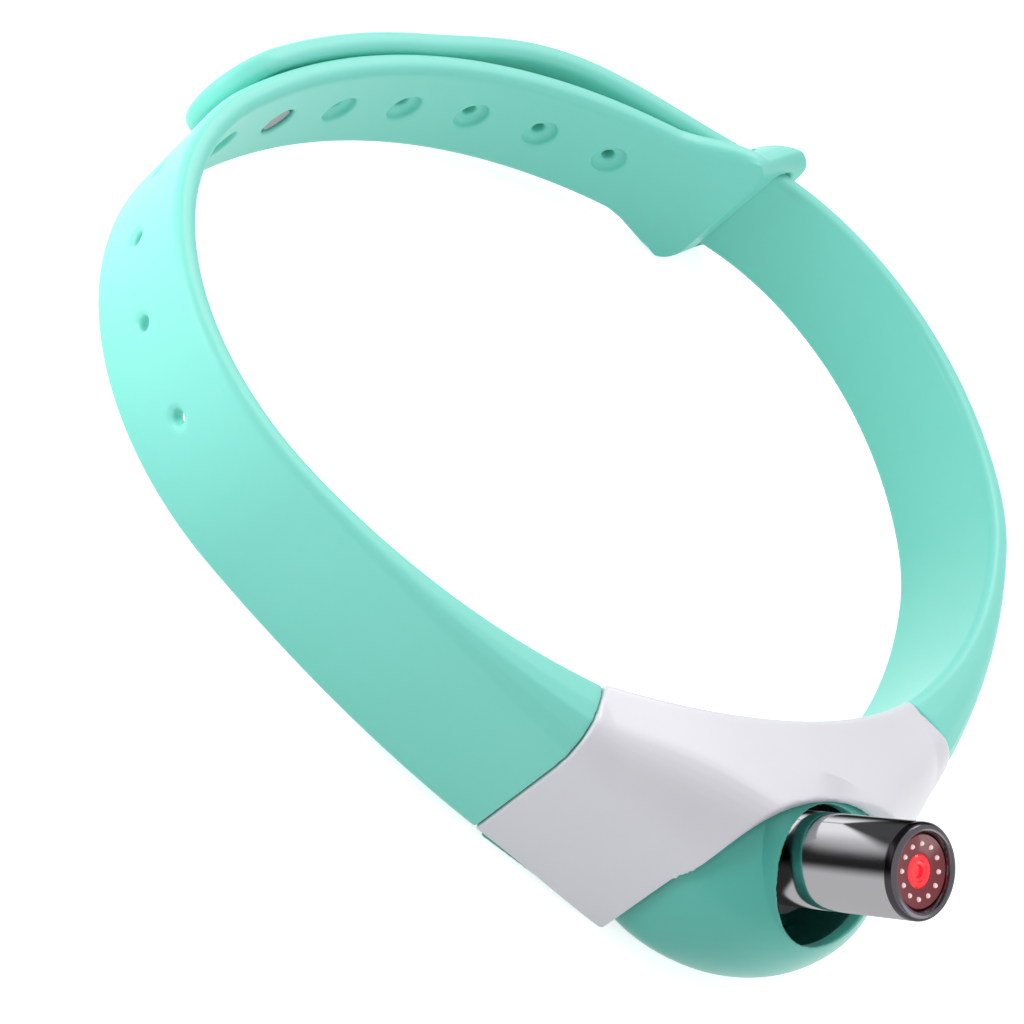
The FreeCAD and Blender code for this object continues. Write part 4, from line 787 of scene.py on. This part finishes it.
@dataclass
class HoledStrap:
    """Left strap: soft holes in a row, and the keeper sleeve at its end."""

    shape: StrapShape = field(default_factory=StrapShape)
    first_hole: float = 62.9
    pitch: float = 9.05
    holes: int = 11
    stud_hole: int = 5
    bore: float = 0.62
    stud_bore: float = 1.75
    bore_rim: float = 0.65
    dish: float = 1.9
    dish_floor: float = 0.7
    keeper_end: float = 173.5
    keeper_slant: float = 5.5
    keeper_half: float = 8.4
    keeper_out: float = 5.35
    slot_half: float = 6.9
    slot_top: float = 6.4
    slot_out: float = 4.05
    keeper_shoulder: float = 3.0
    keeper_ear: float = 2.6
    sleeve_length: float = 5.8
    sleeve_overlap: float = 1.5
    slot_length: float = 8.0
    slot_edge: float = 0.9
    spread_start: float = 157.5
    spread_end: float = 166.5

    def build(self) -> None:
        """Models the strap straight, lays it round the neck and publishes it."""
        strap = self.shape.blank("strap_left_skin", self.spread_end + self.sleeve_overlap)
        wide = self.keeper_half - self.shape.width / 2 - 0.1
        Bench.shift(strap, lambda p: self.shape.grow(
            p, wide * ease(p.x, self.spread_start, self.spread_end)))
        Bench.combine(strap, self._sleeve(), "UNION")
        Bench.combine(strap, self._trim(), "DIFFERENCE")
        Bench.combine(strap, self._slot(), "DIFFERENCE")
        for i in range(self.holes):
            tool = self._hole_tool(self.first_hole + i * self.pitch, i == self.stud_hole)
            Bench.combine(strap, tool, "DIFFERENCE")
        self.shape.cut_seam(strap)
        self.shape.lay(strap, lambda p: LOOP.point(-p.x, p.y, p.z))
        publish(strap, "collar", SILICONE, "silicone_mint", "strap_left")

    def _sleeve(self) -> bpy.types.Object:
        """Flat sleeve with well rounded shoulders, shorter on the neck side.

        Returns:
            The sleeve, ready to be joined to the strap.
        """
        half = self.shape.half
        sleeve = Bench.bar("sleeve", (self.keeper_end - self.sleeve_length, -half, -self.keeper_half),
                           (self.keeper_end, self.keeper_out, self.keeper_half))

        def at_start(a: Vector, b: Vector) -> bool:
            """Whether an edge lies level at the sleeve's start."""
            return max(a.x, b.x) < self.keeper_end - 1 and abs(a.z - b.z) < 0.1

        def on_shoulder(a: Vector, b: Vector) -> bool:
            """Whether an edge runs along the outer side."""
            return abs(a.x - b.x) > 0.2 and abs(a.z - b.z) < 0.01 and min(a.y, b.y) > half

        Bench.round_edges(sleeve, self.sleeve_length - 0.5, at_start, 8)
        Bench.round_edges(sleeve, self.keeper_shoulder, on_shoulder, 8)
        Bench.shift(sleeve, self._slanted)
        return sleeve

    def _slanted(self, point: Vector) -> Vector:
        """Leans a point of the keeper back towards the neck side."""
        slope = self.keeper_slant / (self.keeper_out + self.shape.half)
        return Vector((point.x + (point.y - self.keeper_out) * slope, point.y, point.z))

    def _trim(self) -> bpy.types.Object:
        """Cutter round the keeper's end, which slants back on the neck side and has round ears."""
        half, end = self.shape.half, self.keeper_end
        trim = Bench.bar("trim", (end - 9, -half - 1, -12), (end + 9, self.keeper_out + 1, 12))
        outline = Bench.bar("outline", (end - 12, -half - 2, -self.keeper_half - 0.01),
                            (end, self.keeper_out + 2, self.keeper_half + 0.01))
        Bench.round_edges(outline, self.keeper_ear, lambda a, b: at_end(a, b, end), 10)
        Bench.combine(trim, outline, "DIFFERENCE")
        Bench.shift(trim, self._slanted)
        return trim

    def _slot(self) -> bpy.types.Object:
        """Cutter for the slot through the sleeve."""
        slot = Bench.bar("slot", (self.spread_end - self.slot_length, self.shape.half, -self.slot_half),
                         (self.keeper_end + 1, self.slot_out, self.slot_top))
        Bench.round_edges(slot, self.slot_edge, lambda a, b: abs(a.x - b.x) > 1)
        return slot

    def _hole_tool(self, run: float, stretched: bool) -> bpy.types.Object:
        """Cutter for one hole: a soft-edged dish on the neck side and a narrow bore outside.

        Args:
            run: Place of the hole along the strap.
            stretched: Whether the stud has pulled this hole wide.

        Returns:
            The cutter, standing through the strap.
        """
        half, dish = self.shape.half, self.dish
        bore = self.stud_bore if stretched else self.bore
        rim, floor = bore + self.bore_rim, -half + self.dish_floor
        inner = [(0.01, -half - 1), (dish, -half - 1), (dish, -half - 0.02), (dish - 0.12, -half + 0.08),
                 (dish - 0.14, floor - 0.2)]
        if stretched:
            inner.append((bore + 0.015, floor))
        else:
            inner += [(dish - 0.22, floor - 0.05), (bore + 0.05, floor)]
        profile = inner + [(bore, half - 0.3), (bore + 0.3, half - 0.15), (rim, half + 0.02),
                           (rim, half + 1), (0.01, half + 1)]
        return through_strap("hole_tool", profile, 40, run)


@dataclass
class PlainStrap:
    """Right strap and its tail, one moulding that bends about the flex line."""

    shape: StrapShape = field(default_factory=StrapShape)
    tail_tip: float = 100.7
    layer: float = 2.6
    lift_start: float = 62.0
    keeper_start: float = 164.0
    keeper_end: float = 173.5
    flex: float = 126.15
    bow: float = 1.6
    tip_lift: float = 0.8
    stud: float = 108.15
    stud_base: float = 2.33
    stud_neck: float = 0.83

    def build(self) -> None:
        """Models the strap straight and lays it round the neck."""
        half = self.shape.half
        around = 2 * LOOP.half_run
        strap = self.shape.blank("strap_right_skin", around - self.tail_tip, 8.0)
        Bench.shift(strap, self.shape.grow)
        self.shape.cut_seam(strap)
        seat = [(0.01, -2), (self.stud_neck, -2), (self.stud_neck, half - 0.8),
                (self.stud_base, half - 0.8), (self.stud_base, 2), (0.01, 2)]
        Bench.combine(strap, through_strap("seat", seat, 48, around - self.stud), "DIFFERENCE")
        self.shape.lay(strap, lambda p: LOOP.point(p.x, p.y + self._lift(p.x), p.z))
        WARDROBE.dress(strap, SILICONE)
        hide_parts("strap_right", "strap_tail")
        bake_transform(strap)
        LOG.info("%s: %d faces, bends at the flex line", strap.name, len(strap.data.polygons))

    def _lift(self, run: float) -> float:
        """How far the strap has moved outwards to lie on the other one, at a place along it."""
        around = 2 * LOOP.half_run
        lift = self.layer * ease(run, self.lift_start, around - self.keeper_end)
        first, last = around - self.keeper_start, around - self.flex
        if first < run < last:
            lift += self.bow * math.sin(math.pi * (run - first) / (last - first)) ** 2
        return lift + self.tip_lift * ease(run, around - self.stud + 2, around - self.tail_tip + 6)


# --------------------------------------------------------------------------- pod
@dataclass
class Pod:
    """White saddle over a mint housing with a domed nose, both with a moulding's soft edges."""

    half_length: float = 26.0
    seam: float = 22.2
    lean: float = 1.95
    corner_out: float = 6.25
    flank: float = 38.6
    wall: float = 1.2
    top: float = 10.5
    top_seam: float = 8.4
    rise: float = 0.135
    rise_seam: float = 0.06
    low_front: float = 7.65
    low_seam: float = 7.0
    ridge_seam: float = 4.6
    ridge_arch: float = 8.0
    lip_y: float = -54.0
    lip_sweep: float = 3.6
    lip_bend: float = 2.2
    door: float = 12.6
    dome: tuple = (12.55, 9.75, 1.2)
    dome_back: float = -52.15
    socket: float = -12.6
    bosses: tuple = ((-14.2, -52.2), (14.2, -52.2), (18.6, -46.8))
    nose: tuple = (12.4, 5.72, -54.0)
    nose_edge: float = 3.4
    boss: tuple = (0.71, 1.4, -6.7, 7.2)
    lug: tuple = ((-1.9, 1.15, -4.5), (4.6, 3.95, 4.5))
    mouths: tuple = (((-5.4, -4.6, -7.1), (5.0, -0.2, -2.6)), ((-3.6, -2.3, -6.25), (3.6, 2.3, -3.45)))
    wing: float = 23.5
    fall: float = 20.3
    edge_neck: float = 0.7
    edge_low: float = 0.5
    grid: float = 0.14
    rounds: int = 12
    kept: float = 0.5

    def build(self) -> None:
        """Models both shells and publishes them."""
        cover = self._cover()
        Bench.soften(cover, self.grid, self.rounds, self.kept)
        self._publish(cover, WHITE_ABS, "shell_white", "pod_cover")
        housing = Bench.copy_of_node("pod_housing_skin", "pod_housing")
        Bench.soften(housing, self.grid, self.rounds, self.kept)
        Bench.shift(housing, self._rolled)
        self._publish(housing, MINT_ABS, "shell_mint", "pod_housing")

    def _publish(self, shell: bpy.types.Object, finish, slot: str, node: str) -> None:
        """Brings a shell to metres and publishes it."""
        Bench.to_metres(shell)
        Bench.finish(shell)
        publish(shell, "collar", finish, slot, node)

    def _flank_y(self, x: float) -> float:
        """Y of the flat side at x, measured from the loop's middle."""
        corner = LOOP.point(self.seam, self.corner_out, 0) - LOOP_PLACE
        return corner.y - (corner.x - abs(x)) * math.tan(math.radians(self.flank))

    def _section(self, point: Vector, inset: float) -> Vector:
        """Moves a point of the even bar to the saddle's section at its x.

        Args:
            point: X in millimetres; Y from 0 at the neck to 1 in front; Z from 0 below to 1 on top.
            inset: Distance inwards from the outside.

        Returns:
            The point in the frame, in millimetres.
        """
        x, out, up = point
        far = min(1.0, abs(x) / self.fall)
        wing = (abs(x) - self.door) / (self.wing - self.door)
        neck = LOOP.front_y - math.sqrt((LOOP.front_radius + inset) ** 2 - x * x)
        front = self._flank_y(x) + inset / math.cos(math.radians(self.flank))
        top = self.top - (self.top - self.top_seam) * far ** 2 - inset
        low = -(self.low_front + (self.low_seam - self.low_front) * ease(wing, 0.0, 1.0)) - 2 * inset
        slope = self.rise + (self.rise_seam - self.rise) * far
        ridge = self.ridge_arch + (self.ridge_seam - self.ridge_arch) * ease(wing, -0.3, 1.0)
        reach = self._placed(out, up, ridge, neck - front)
        height = self._placed(up, out, ridge, top - low)
        height += slope * reach * (height / (top - low)) ** 2
        return Vector((x, neck - reach, low + height)) + LOOP_PLACE

    def _placed(self, value: float, beside: float, ridge: float, size: float) -> float:
        """Length for a share of a side whose two ends, a quarter each, become roundings.

        Args:
            value: Share of the side, from 0 to 1.
            beside: Share of the other side, which says which edges the roundings belong to.
            ridge: Radius of the front upper edge.
            size: Length of the side.

        Returns:
            The length from the side's start.
        """
        first, last = (self.edge_neck, ridge) if beside > 0.5 else (self.edge_low, self.edge_low)
        if value < 0.25:
            return value * 4 * first
        if value > 0.75:
            return size - (1 - value) * 4 * last
        return first + (value - 0.25) * 2 * (size - first - last)

    def _body(self, name: str, inset: float) -> bpy.types.Object:
        """Solid of the saddle before it is cut.

        Args:
            name: Name of the solid.
            inset: Distance inwards from the outside.

        Returns:
            The solid, longer than the pod.
        """
        body = Bench.bar(name, (-self.half_length, 0, 0), (self.half_length, 1, 1))
        Bench.cut_along(body, 80)
        Bench.round_edges(
            body, 0.25, lambda a, b: abs(a.y - b.y) < 1e-4 and abs(a.z - b.z) < 1e-4, 12)
        Bench.shift(body, lambda p: self._section(p, inset))
        Bench.turn_out(body)
        return body

    def _ends(self, name: str, inset: float, side: int) -> bpy.types.Object:
        """Block beyond one seam, square to the flank."""
        block = Bench.bar(name, (self.seam - inset, -9, -14), (self.seam + 14, 12, 14))
        Bench.cut_along(block, 6)
        slope = self.lean / StrapShape.seam_thickness
        Bench.shift(block, lambda p: Vector((p.x + (p.y - self.corner_out) * slope, p.y, p.z)))
        Bench.shift(block, lambda p: self._ahead(side, p))
        Bench.turn_out(block)
        return block

    def _ahead(self, side: int, point: Vector) -> Vector:
        """Places a point given along the tangent at a seam, outwards and up."""
        return self._local(side * self.seam, Vector((side * (point.x - self.seam), point.y, point.z)))

    @staticmethod
    def _local(run: float, point: Vector) -> Vector:
        """Places a point given along the tangent at a run, outwards and up."""
        foot = LOOP.point(run, 0, 0)
        out = LOOP.point(run, 1, 0) - foot
        along = Vector((-out.y, out.x, 0))
        return foot + along * point.x + out * point.y + Vector((0, 0, point.z))

    def _cover(self) -> bpy.types.Object:
        """White saddle: neck wall, roof and flanks, open below and arched over the dome."""
        cover = self._body("pod_cover_skin", 0.0)
        space = self._body("space", self.wall)
        for side in (-1, 1):
            Bench.combine(space, self._ends("inner_end", self.wall, side), "DIFFERENCE")
        Bench.combine(cover, space, "DIFFERENCE")
        bore, outside, low, high = self.boss
        for x, y in self.bosses:
            boss = Bench.turned("boss", [(bore, low), (outside, low), (outside, high), (bore, high)], 32)
            boss.data.transform(Matrix.Translation(Vector((x, y, 0)) + LOOP_PLACE))
            Bench.combine(cover, boss, "UNION")
        Bench.combine(cover, self._lip_tool(), "DIFFERENCE")
        Bench.combine(cover, self._arch_tool(), "DIFFERENCE")
        for side in (-1, 1):
            Bench.combine(cover, self._ends("end", 0.0, side), "DIFFERENCE")
            lug = Bench.bar("lug", *((self.seam + x, y, z) for x, y, z in self.lug))
            Bench.shift(lug, lambda p: self._ahead(side, p))
            Bench.turn_out(lug)
            Bench.combine(cover, lug, "UNION")
        for low, high in self.mouths:
            mouth = Bench.bar("mouth", low, high)
            Bench.shift(mouth, lambda p: self._local(self.socket, p))
            Bench.turn_out(mouth)
            Bench.combine(cover, mouth, "DIFFERENCE")
        return cover

    def _lip_tool(self) -> bpy.types.Object:
        """Cutter in front of the saddle's edge, which sweeps forward beside the dome."""
        tool = Bench.bar("lip_tool", (-self.door, -80, -20), (self.door, self.lip_y, 20))
        Bench.cut_along(tool, 40)

        def swept(point: Vector) -> Vector:
            """Moves the cutter's near face along the swept lip."""
            sweep = self.lip_sweep * (abs(point.x) / self.door) ** self.lip_bend
            near = point.y > -70
            return Vector((point.x, point.y - (sweep if near else 0), point.z)) + LOOP_PLACE

        Bench.shift(tool, swept)
        Bench.turn_out(tool)
        return tool

    def _arch_tool(self) -> bpy.types.Object:
        """Cutter for the dome seen from the front: an oval above upright sides."""
        half, top, middle = self.dome
        Bench.clear()
        bpy.ops.mesh.primitive_cylinder_add(
            vertices=128, radius=1, depth=40, rotation=(math.pi / 2, 0, 0))
        tool = bpy.context.object
        bpy.ops.object.transform_apply(location=True, rotation=True, scale=True)

        def domed(point: Vector) -> Vector:
            """Moves a point of the round bar to the oval, whose lower half drops out of the pod."""
            up = point.z * top + middle if point.z >= 0 else middle + point.z * 0.01 - 14
            return Vector((point.x * half, point.y + self.dome_back - 20, up)) + LOOP_PLACE

        Bench.shift(tool, domed)
        Bench.turn_out(tool)
        return tool

    def _rolled(self, point: Vector) -> Vector:
        """Rounds the lower edge of the dome, where it meets the flat underside."""
        size = self.nose_edge
        half, depth, middle = self.nose
        x, y, up = point.x, point.y - LOOP_PLACE.y - middle, point.z
        if y > -0.01 or up > size:
            return point
        reach = math.hypot(x / half, y / depth)
        inside = (1 - reach) * math.hypot(x, y) / max(reach, 1e-6)
        if inside > size:
            return point
        inside, above = size - max(0.0, inside), size - max(0.0, up)
        length = math.hypot(inside, above)
        if length < size:
            return point
        share = size / length
        shrink = 1 - inside * (1 - share) / max(math.hypot(x, y), 1e-6)
        return Vector((x * shrink, y * shrink + LOOP_PLACE.y + middle, size - above * share))


# --------------------------------------------------------------------------- laser barrel
@dataclass
class LaserBarrel:
    """Plated tube with its dark rim, red ring with raised dots and lens, about the laser's axis; the
    dots carry painted glints and the lens a painted glow.
    """

    pivot: tuple = (0.0, -36.05, 9.9)
    tilt: float = 31.5
    outside: float = 4.2
    inside: float = 3.4
    rear: float = -3.5
    front: float = 18.2
    tip: float = 19.2
    bore: float = 3.25
    ring_bore: float = 1.45
    dots: int = 12
    pip: float = 0.22
    shoulder: float = 0.55

    def build(self) -> None:
        """Turns each piece and publishes it."""
        self._publish(self._tube(), BRIGHT_CHROME, "tube_bright", "laser_tube")
        self._publish(self._bezel(), DARK_CHROME, "bezel_dark", "tube_bezel")
        ring = self._ring()
        # The faces on the raised dots take the pale glowing finish, painted glints in place of their
        # highlights.
        painted_glint_faces = self._on_pips(ring)
        self._publish(ring, RING_ABS, "ring_red", "focus_ring")
        ring.data.materials.append(WARDROBE.get(PAINTED_GLINT))
        for face in painted_glint_faces:
            ring.data.polygons[face].material_index = 1
        self._publish(self._lens(), PAINTED_GLOW_LENS, "lens_red", "laser_lens")

    def _publish(self, piece: bpy.types.Object, finish, slot: str, node: str) -> None:
        """Stands a piece on the laser's axis and publishes it."""
        turn = Matrix.Translation(self.pivot) @ Matrix.Rotation(math.radians(self.tilt), 4, "X")
        Bench.shift(piece, lambda point: turn @ point)
        Bench.to_metres(piece)
        Bench.finish(piece, 35)
        publish(piece, "laser", finish, slot, node)

    def _tube(self) -> bpy.types.Object:
        """Tube with a small shadow groove under its rim."""
        return Bench.turned("laser_tube_skin", [
            (self.inside, self.rear), (self.outside - 0.1, self.rear), (self.outside, self.rear + 0.1),
            (self.outside, self.front - 0.12), (self.outside - 0.08, self.front),
            (self.inside, self.front)])

    def _bezel(self) -> bpy.types.Object:
        """Rim with a rounded shoulder outside and a chamfer inside."""
        top, out = self.tip, self.outside
        round_off = self.shoulder
        bend = [(out - round_off + round_off * math.cos(a), top - round_off + round_off * math.sin(a))
                for a in (math.radians(15 * i) for i in range(7))]
        return Bench.turned("tube_bezel_skin", [
            (self.inside - 0.02, self.front - 1.5), (self.inside - 0.02, self.front),
            (out - 0.08, self.front + 0.01), (out, self.front + 0.1)] + bend + [
            (self.bore + 0.35, top), (self.bore + 0.22, top - 0.06), (self.bore, top - 0.45),
            (self.bore, self.front - 1.5)])

    def _ring(self) -> bpy.types.Object:
        """Red ring with a dished face and small raised dots round its bore."""
        top = self.front + 0.5
        ring = Bench.turned("focus_ring_skin", [
            (self.ring_bore, top - 1.3), (self.bore - 0.05, top - 1.3), (self.bore - 0.05, top - 0.1),
            (self.bore - 0.15, top), (self.ring_bore + 0.25, top - 0.22), (self.ring_bore, top - 0.22)])
        for i in range(self.dots):
            pip = Bench.turned("pip", [(0.01, top - 0.5), (self.pip, top - 0.5), (self.pip, top - 0.08),
                                       (0.7 * self.pip, top + 0.04), (0.01, top + 0.06)], 16)
            pip.data.transform(Matrix.Translation(self._dot(i)))
            Bench.combine(ring, pip, "UNION")
        return ring

    def _on_pips(self, ring: bpy.types.Object) -> list[int]:
        """Numbers of the ring's faces that lie on its raised dots."""
        points = ring.data.vertices
        return [face.index for face in ring.data.polygons if face.center.z > self.front + 0.36 and any(
            all((points[v].co - self._dot(i)).xy.length < self.pip * 1.03 for v in face.vertices)
            for i in range(self.dots))]

    def _dot(self, number: int) -> Vector:
        """Middle of one raised dot, at height 0."""
        turn = 2 * math.pi * number / self.dots
        reach = (self.ring_bore + self.bore) / 2
        return Vector((reach * math.cos(turn), reach * math.sin(turn), 0))

    def _lens(self) -> bpy.types.Object:
        """Lens with a stepped dish in its middle."""
        top = self.front + 0.33
        return Bench.turned("laser_lens_skin", [
            (0.01, top - 1.0), (self.ring_bore - 0.01, top - 1.0), (self.ring_bore - 0.01, top - 0.1),
            (self.ring_bore - 0.12, top), (0.95, top), (0.86, top - 0.12), (0.6, top - 0.16),
            (0.5, top - 0.4), (0.01, top - 0.42)], 64)


# --------------------------------------------------------------------------- carried pieces
class Carried(Enum):
    """Frame nodes that keep their shape, grouped under the finish that they get."""

    DARK_CHROME = (DARK_CHROME, "strap_stud")
    STEEL = (STEEL, "strap_pins", "cover_screws", "trunnion_pins", "idler_pin", "motor_shaft",
             "motor_can", "frame_screws", "usb_socket")
    BRASS = (BRASS, "laser_module", "motor_pinion")
    ACETAL = (ACETAL, "sector_gear", "idler_gear")
    NYLON = (NYLON, "swing_cradle", "swing_frame")
    BOARD = (BOARD, "circuit_board")
    CHIP_EPOXY = (CHIP_EPOXY, "control_chip", "tact_switch")
    CELL = (CELL, "battery")
    BUTTON_ABS = (BUTTON_ABS, "button_cap")
    PLUG_SILICONE = (PLUG_SILICONE, "port_plug")
    PIPE = (PIPE, "light_pipe", "status_led")
    JACKET_RED = (JACKET_RED, "laser_leads", "motor_leads", "battery_leads")


def dress_carried() -> None:
    """Dresses the nodes that keep their own shape."""
    for group in Carried:
        finish, *nodes = group.value
        for node in nodes:
            WARDROBE.dress(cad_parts[node], finish)
            LOG.info("%s: %s", node, finish.name)


# --------------------------------------------------------------------------- studio
@dataclass
class Studio:
    """White floor and background, soft lamps and the camera."""

    floor_half: float = 2.0
    azimuth: float = -56.752
    elevation: float = 34.926
    roll: float = 49.253
    distance: float = 350.759
    pixels: float = 3748.294
    swing: float = 1.515
    tip: float = -2.198
    image: float = 1024.0
    sensor: float = 36.0
    card_radius: float = 7.5
    card_reach: float = 150.0
    card_low: float = -3.5
    card_height: float = 24.0
    card_steps: int = 240
    card_bands: tuple = ((-150, -128, 0.8), (-112, -105, 0.02), (-84, -63, 1.0), (-17, -5, 0.02),
                         (15, 150, 0.55))
    root_low: float = 3.6
    root_rise: float = 3.0
    flag_turn: float = -78.0
    flag_tip: float = 10.0
    flag_spread: float = 5.5
    flag_dark: float = 0.93
    lamps: tuple = (("back", (0.45, 0.65, 0.75), 0.5, 4.6), ("side", (-0.18, 0.085, 0.055), 0.1, 0.165),
                    ("fill", (0.45, -0.55, 0.25), 0.4, 0.9))

    def build(self) -> None:
        """Builds the stage."""
        self._view()
        self._world()
        self._floor()
        self._lamps()
        self._flags()
        self._camera()

    def _view(self) -> None:
        """Plain view transform."""
        bpy.context.scene.view_settings.view_transform = "Standard"

    def _seen(self, tree: bpy.types.NodeTree) -> bpy.types.NodeSocket:
        """1 for camera, glossy and transmission rays, which see a white background."""
        path = add(tree, "LightPath")
        first = add(tree, "Math", {0: path.outputs["Is Camera Ray"], 1: path.outputs["Is Glossy Ray"]},
                    operation="MAXIMUM")
        return add(tree, "Math", {0: first.outputs[0], 1: path.outputs["Is Transmission Ray"]},
                   operation="MAXIMUM").outputs[0]

    def _world(self) -> None:
        """White to the eye and in reflections, a plain grey as light."""
        world = bpy.data.worlds.new("studio")
        bpy.context.scene.world = world
        world.use_nodes = True
        tree = world.node_tree
        tree.nodes.clear()
        light = add(tree, "Background", {"Color": (1, 1, 1, 1), "Strength": 0.55})
        white = add(tree, "Background", {"Color": (1, 1, 1, 1), "Strength": 1.0})
        mix = add(tree, "MixShader", {0: self._seen(tree), 1: light.outputs[0], 2: white.outputs[0]})
        add(tree, "OutputWorld", {"Surface": mix.outputs[0]})

    def _floor(self) -> None:
        """White sweep on which the collar stands."""
        Bench.clear()
        bpy.ops.mesh.primitive_plane_add(size=2 * self.floor_half, location=(0, 0, 0))
        floor = bpy.context.object
        floor.name = "floor"
        material, tree = blank("floor_white")
        paper = add(tree, "BsdfDiffuse", {"Color": (0.9, 0.9, 0.9, 1)})
        glow = add(tree, "Emission", {"Color": (1, 1, 1, 1), "Strength": 0.7})
        both = add(tree, "AddShader", {0: paper.outputs[0], 1: glow.outputs[0]})
        mix = add(tree, "MixShader", {0: self._seen(tree), 1: paper.outputs[0], 2: both.outputs[0]})
        add(tree, "OutputMaterial", {"Surface": mix.outputs[0]})
        floor.data.materials.append(material)

    def _lamps(self) -> None:
        """A large lamp behind and above, a close one beside the left strap and a weak fill."""
        for name, spot, size, power in self.lamps:
            data = bpy.data.lights.new(name, "AREA")
            data.energy = power
            data.size = size
            lamp = bpy.data.objects.new(name, data)
            bpy.context.scene.collection.objects.link(lamp)
            lamp.location = spot
            aim = Vector((0, 0, 0.01)) - Vector(spot)
            lamp.rotation_euler = aim.to_track_quat("-Z", "Y").to_euler()

    def _flags(self) -> None:
        """Stands a curved card, graded from white to black, round the tube; only reflections see it."""
        forward = self._axes()[3]
        axis = Matrix.Rotation(math.radians(LaserBarrel.tilt), 4, "X") @ Vector((0, 0, 1))
        near = (-forward - axis * -forward.dot(axis)).normalized()
        turn = Matrix((near, axis.cross(near), axis)).transposed().to_4x4()
        place = Matrix.Translation(LaserBarrel.pivot) @ turn
        Bench.clear()
        bpy.ops.mesh.primitive_grid_add(size=1, x_subdivisions=self.card_steps, y_subdivisions=80)
        card = bpy.context.object
        card.name = "card"
        layer = card.data.attributes.new("shine", "FLOAT", "POINT")
        for point, value in zip(card.data.vertices, layer.data):
            turn_by = point.co.x * 2 * self.card_reach
            height = self.card_low + (point.co.y + 0.5) * self.card_height
            value.value = self._shine(turn_by, height)
            angle, radius = math.radians(turn_by), self.card_radius
            spot = Vector((radius * math.cos(angle), radius * math.sin(angle), height))
            point.co = place @ spot * MM
        material, tree = blank("card_graded")
        shine = add(tree, "Attribute", attribute_name="shine")
        glow = add(tree, "Emission", {"Color": (1, 1, 1, 1), "Strength": shine.outputs["Fac"]})
        add(tree, "OutputMaterial", {"Surface": glow.outputs[0]})
        card.data.materials.append(material)
        card.visible_camera = card.visible_diffuse = card.visible_shadow = False
        card.visible_transmission = False

    def _shine(self, around: float, height: float) -> float:
        """Brightness of the card at a place.

        Args:
            around: Degrees round the tube from the side nearest the camera.
            height: Height along the tube's axis.

        Returns:
            Brightness that the tube reflects.
        """
        bands = self.card_bands
        bright = bands[0][2]
        for (_, start, low), (end, _, high) in zip(bands, bands[1:]):
            bright += (high - low) * ease(around, start, end)
        # A pointed dark flag reaches down over the upper half, and the tube's root stays dark.
        spread = self.flag_spread * max(0.0, height - self.flag_tip)
        flag = 1 - ease(abs(around - self.flag_turn), 0.75 * spread, 1.5 + 1.3 * spread)
        root = self.root_low + self.root_rise * (1 - ease(abs(around), 15, 70))
        rooted = 0.05 + 0.95 * ease(height, root - 0.3, root + 0.4)
        return bright * (1 - self.flag_dark * flag) * rooted

    def _axes(self) -> tuple[Vector, Vector, Vector, Vector]:
        """Camera place and axes.

        Returns:
            Place in millimetres from the loop's middle, then right, up and forward.
        """
        a, e = math.radians(self.azimuth), math.radians(self.elevation)
        x, y, r = math.radians(self.swing), math.radians(self.tip), math.radians(self.roll)
        right = Vector((math.cos(a), math.sin(a), 0))
        back = Vector((math.sin(a) * math.cos(e), -math.cos(a) * math.cos(e), math.sin(e)))
        up = back.cross(right)
        level = math.cos(x) * right + math.sin(x) * back
        away = math.sin(x) * right - math.cos(x) * back
        forward = math.sin(y) * up + math.cos(y) * away
        upright = math.cos(y) * up - math.sin(y) * away
        image_right = math.cos(r) * level + math.sin(r) * upright
        image_up = -math.sin(r) * level + math.cos(r) * upright
        return back * self.distance, image_right, image_up, forward

    def _camera(self) -> None:
        """Camera with the view's own angle, distance and roll."""
        place, right, up, forward = self._axes()
        data = bpy.data.cameras.new("camera")
        data.sensor_width = self.sensor
        data.lens = self.pixels / self.image * self.sensor
        data.clip_start = 0.005
        data.clip_end = 20.0
        camera = bpy.data.objects.new("camera", data)
        bpy.context.scene.collection.objects.link(camera)
        turn = Matrix((right, up, -forward)).transposed().to_4x4()
        camera.matrix_world = Matrix.Translation((place + LOOP_PLACE) * MM) @ turn
        bpy.context.scene.camera = camera


def main() -> None:
    """Builds every piece in order, then the studio."""
    logging.basicConfig(level=logging.INFO, format="%(name)s %(message)s")
    for piece in (HoledStrap(), PlainStrap(), Pod(), LaserBarrel()):
        piece.build()
        LOG.info("%s is done", type(piece).__name__)
    dress_carried()
    Studio().build()


if __name__ == "__main__":
    main()
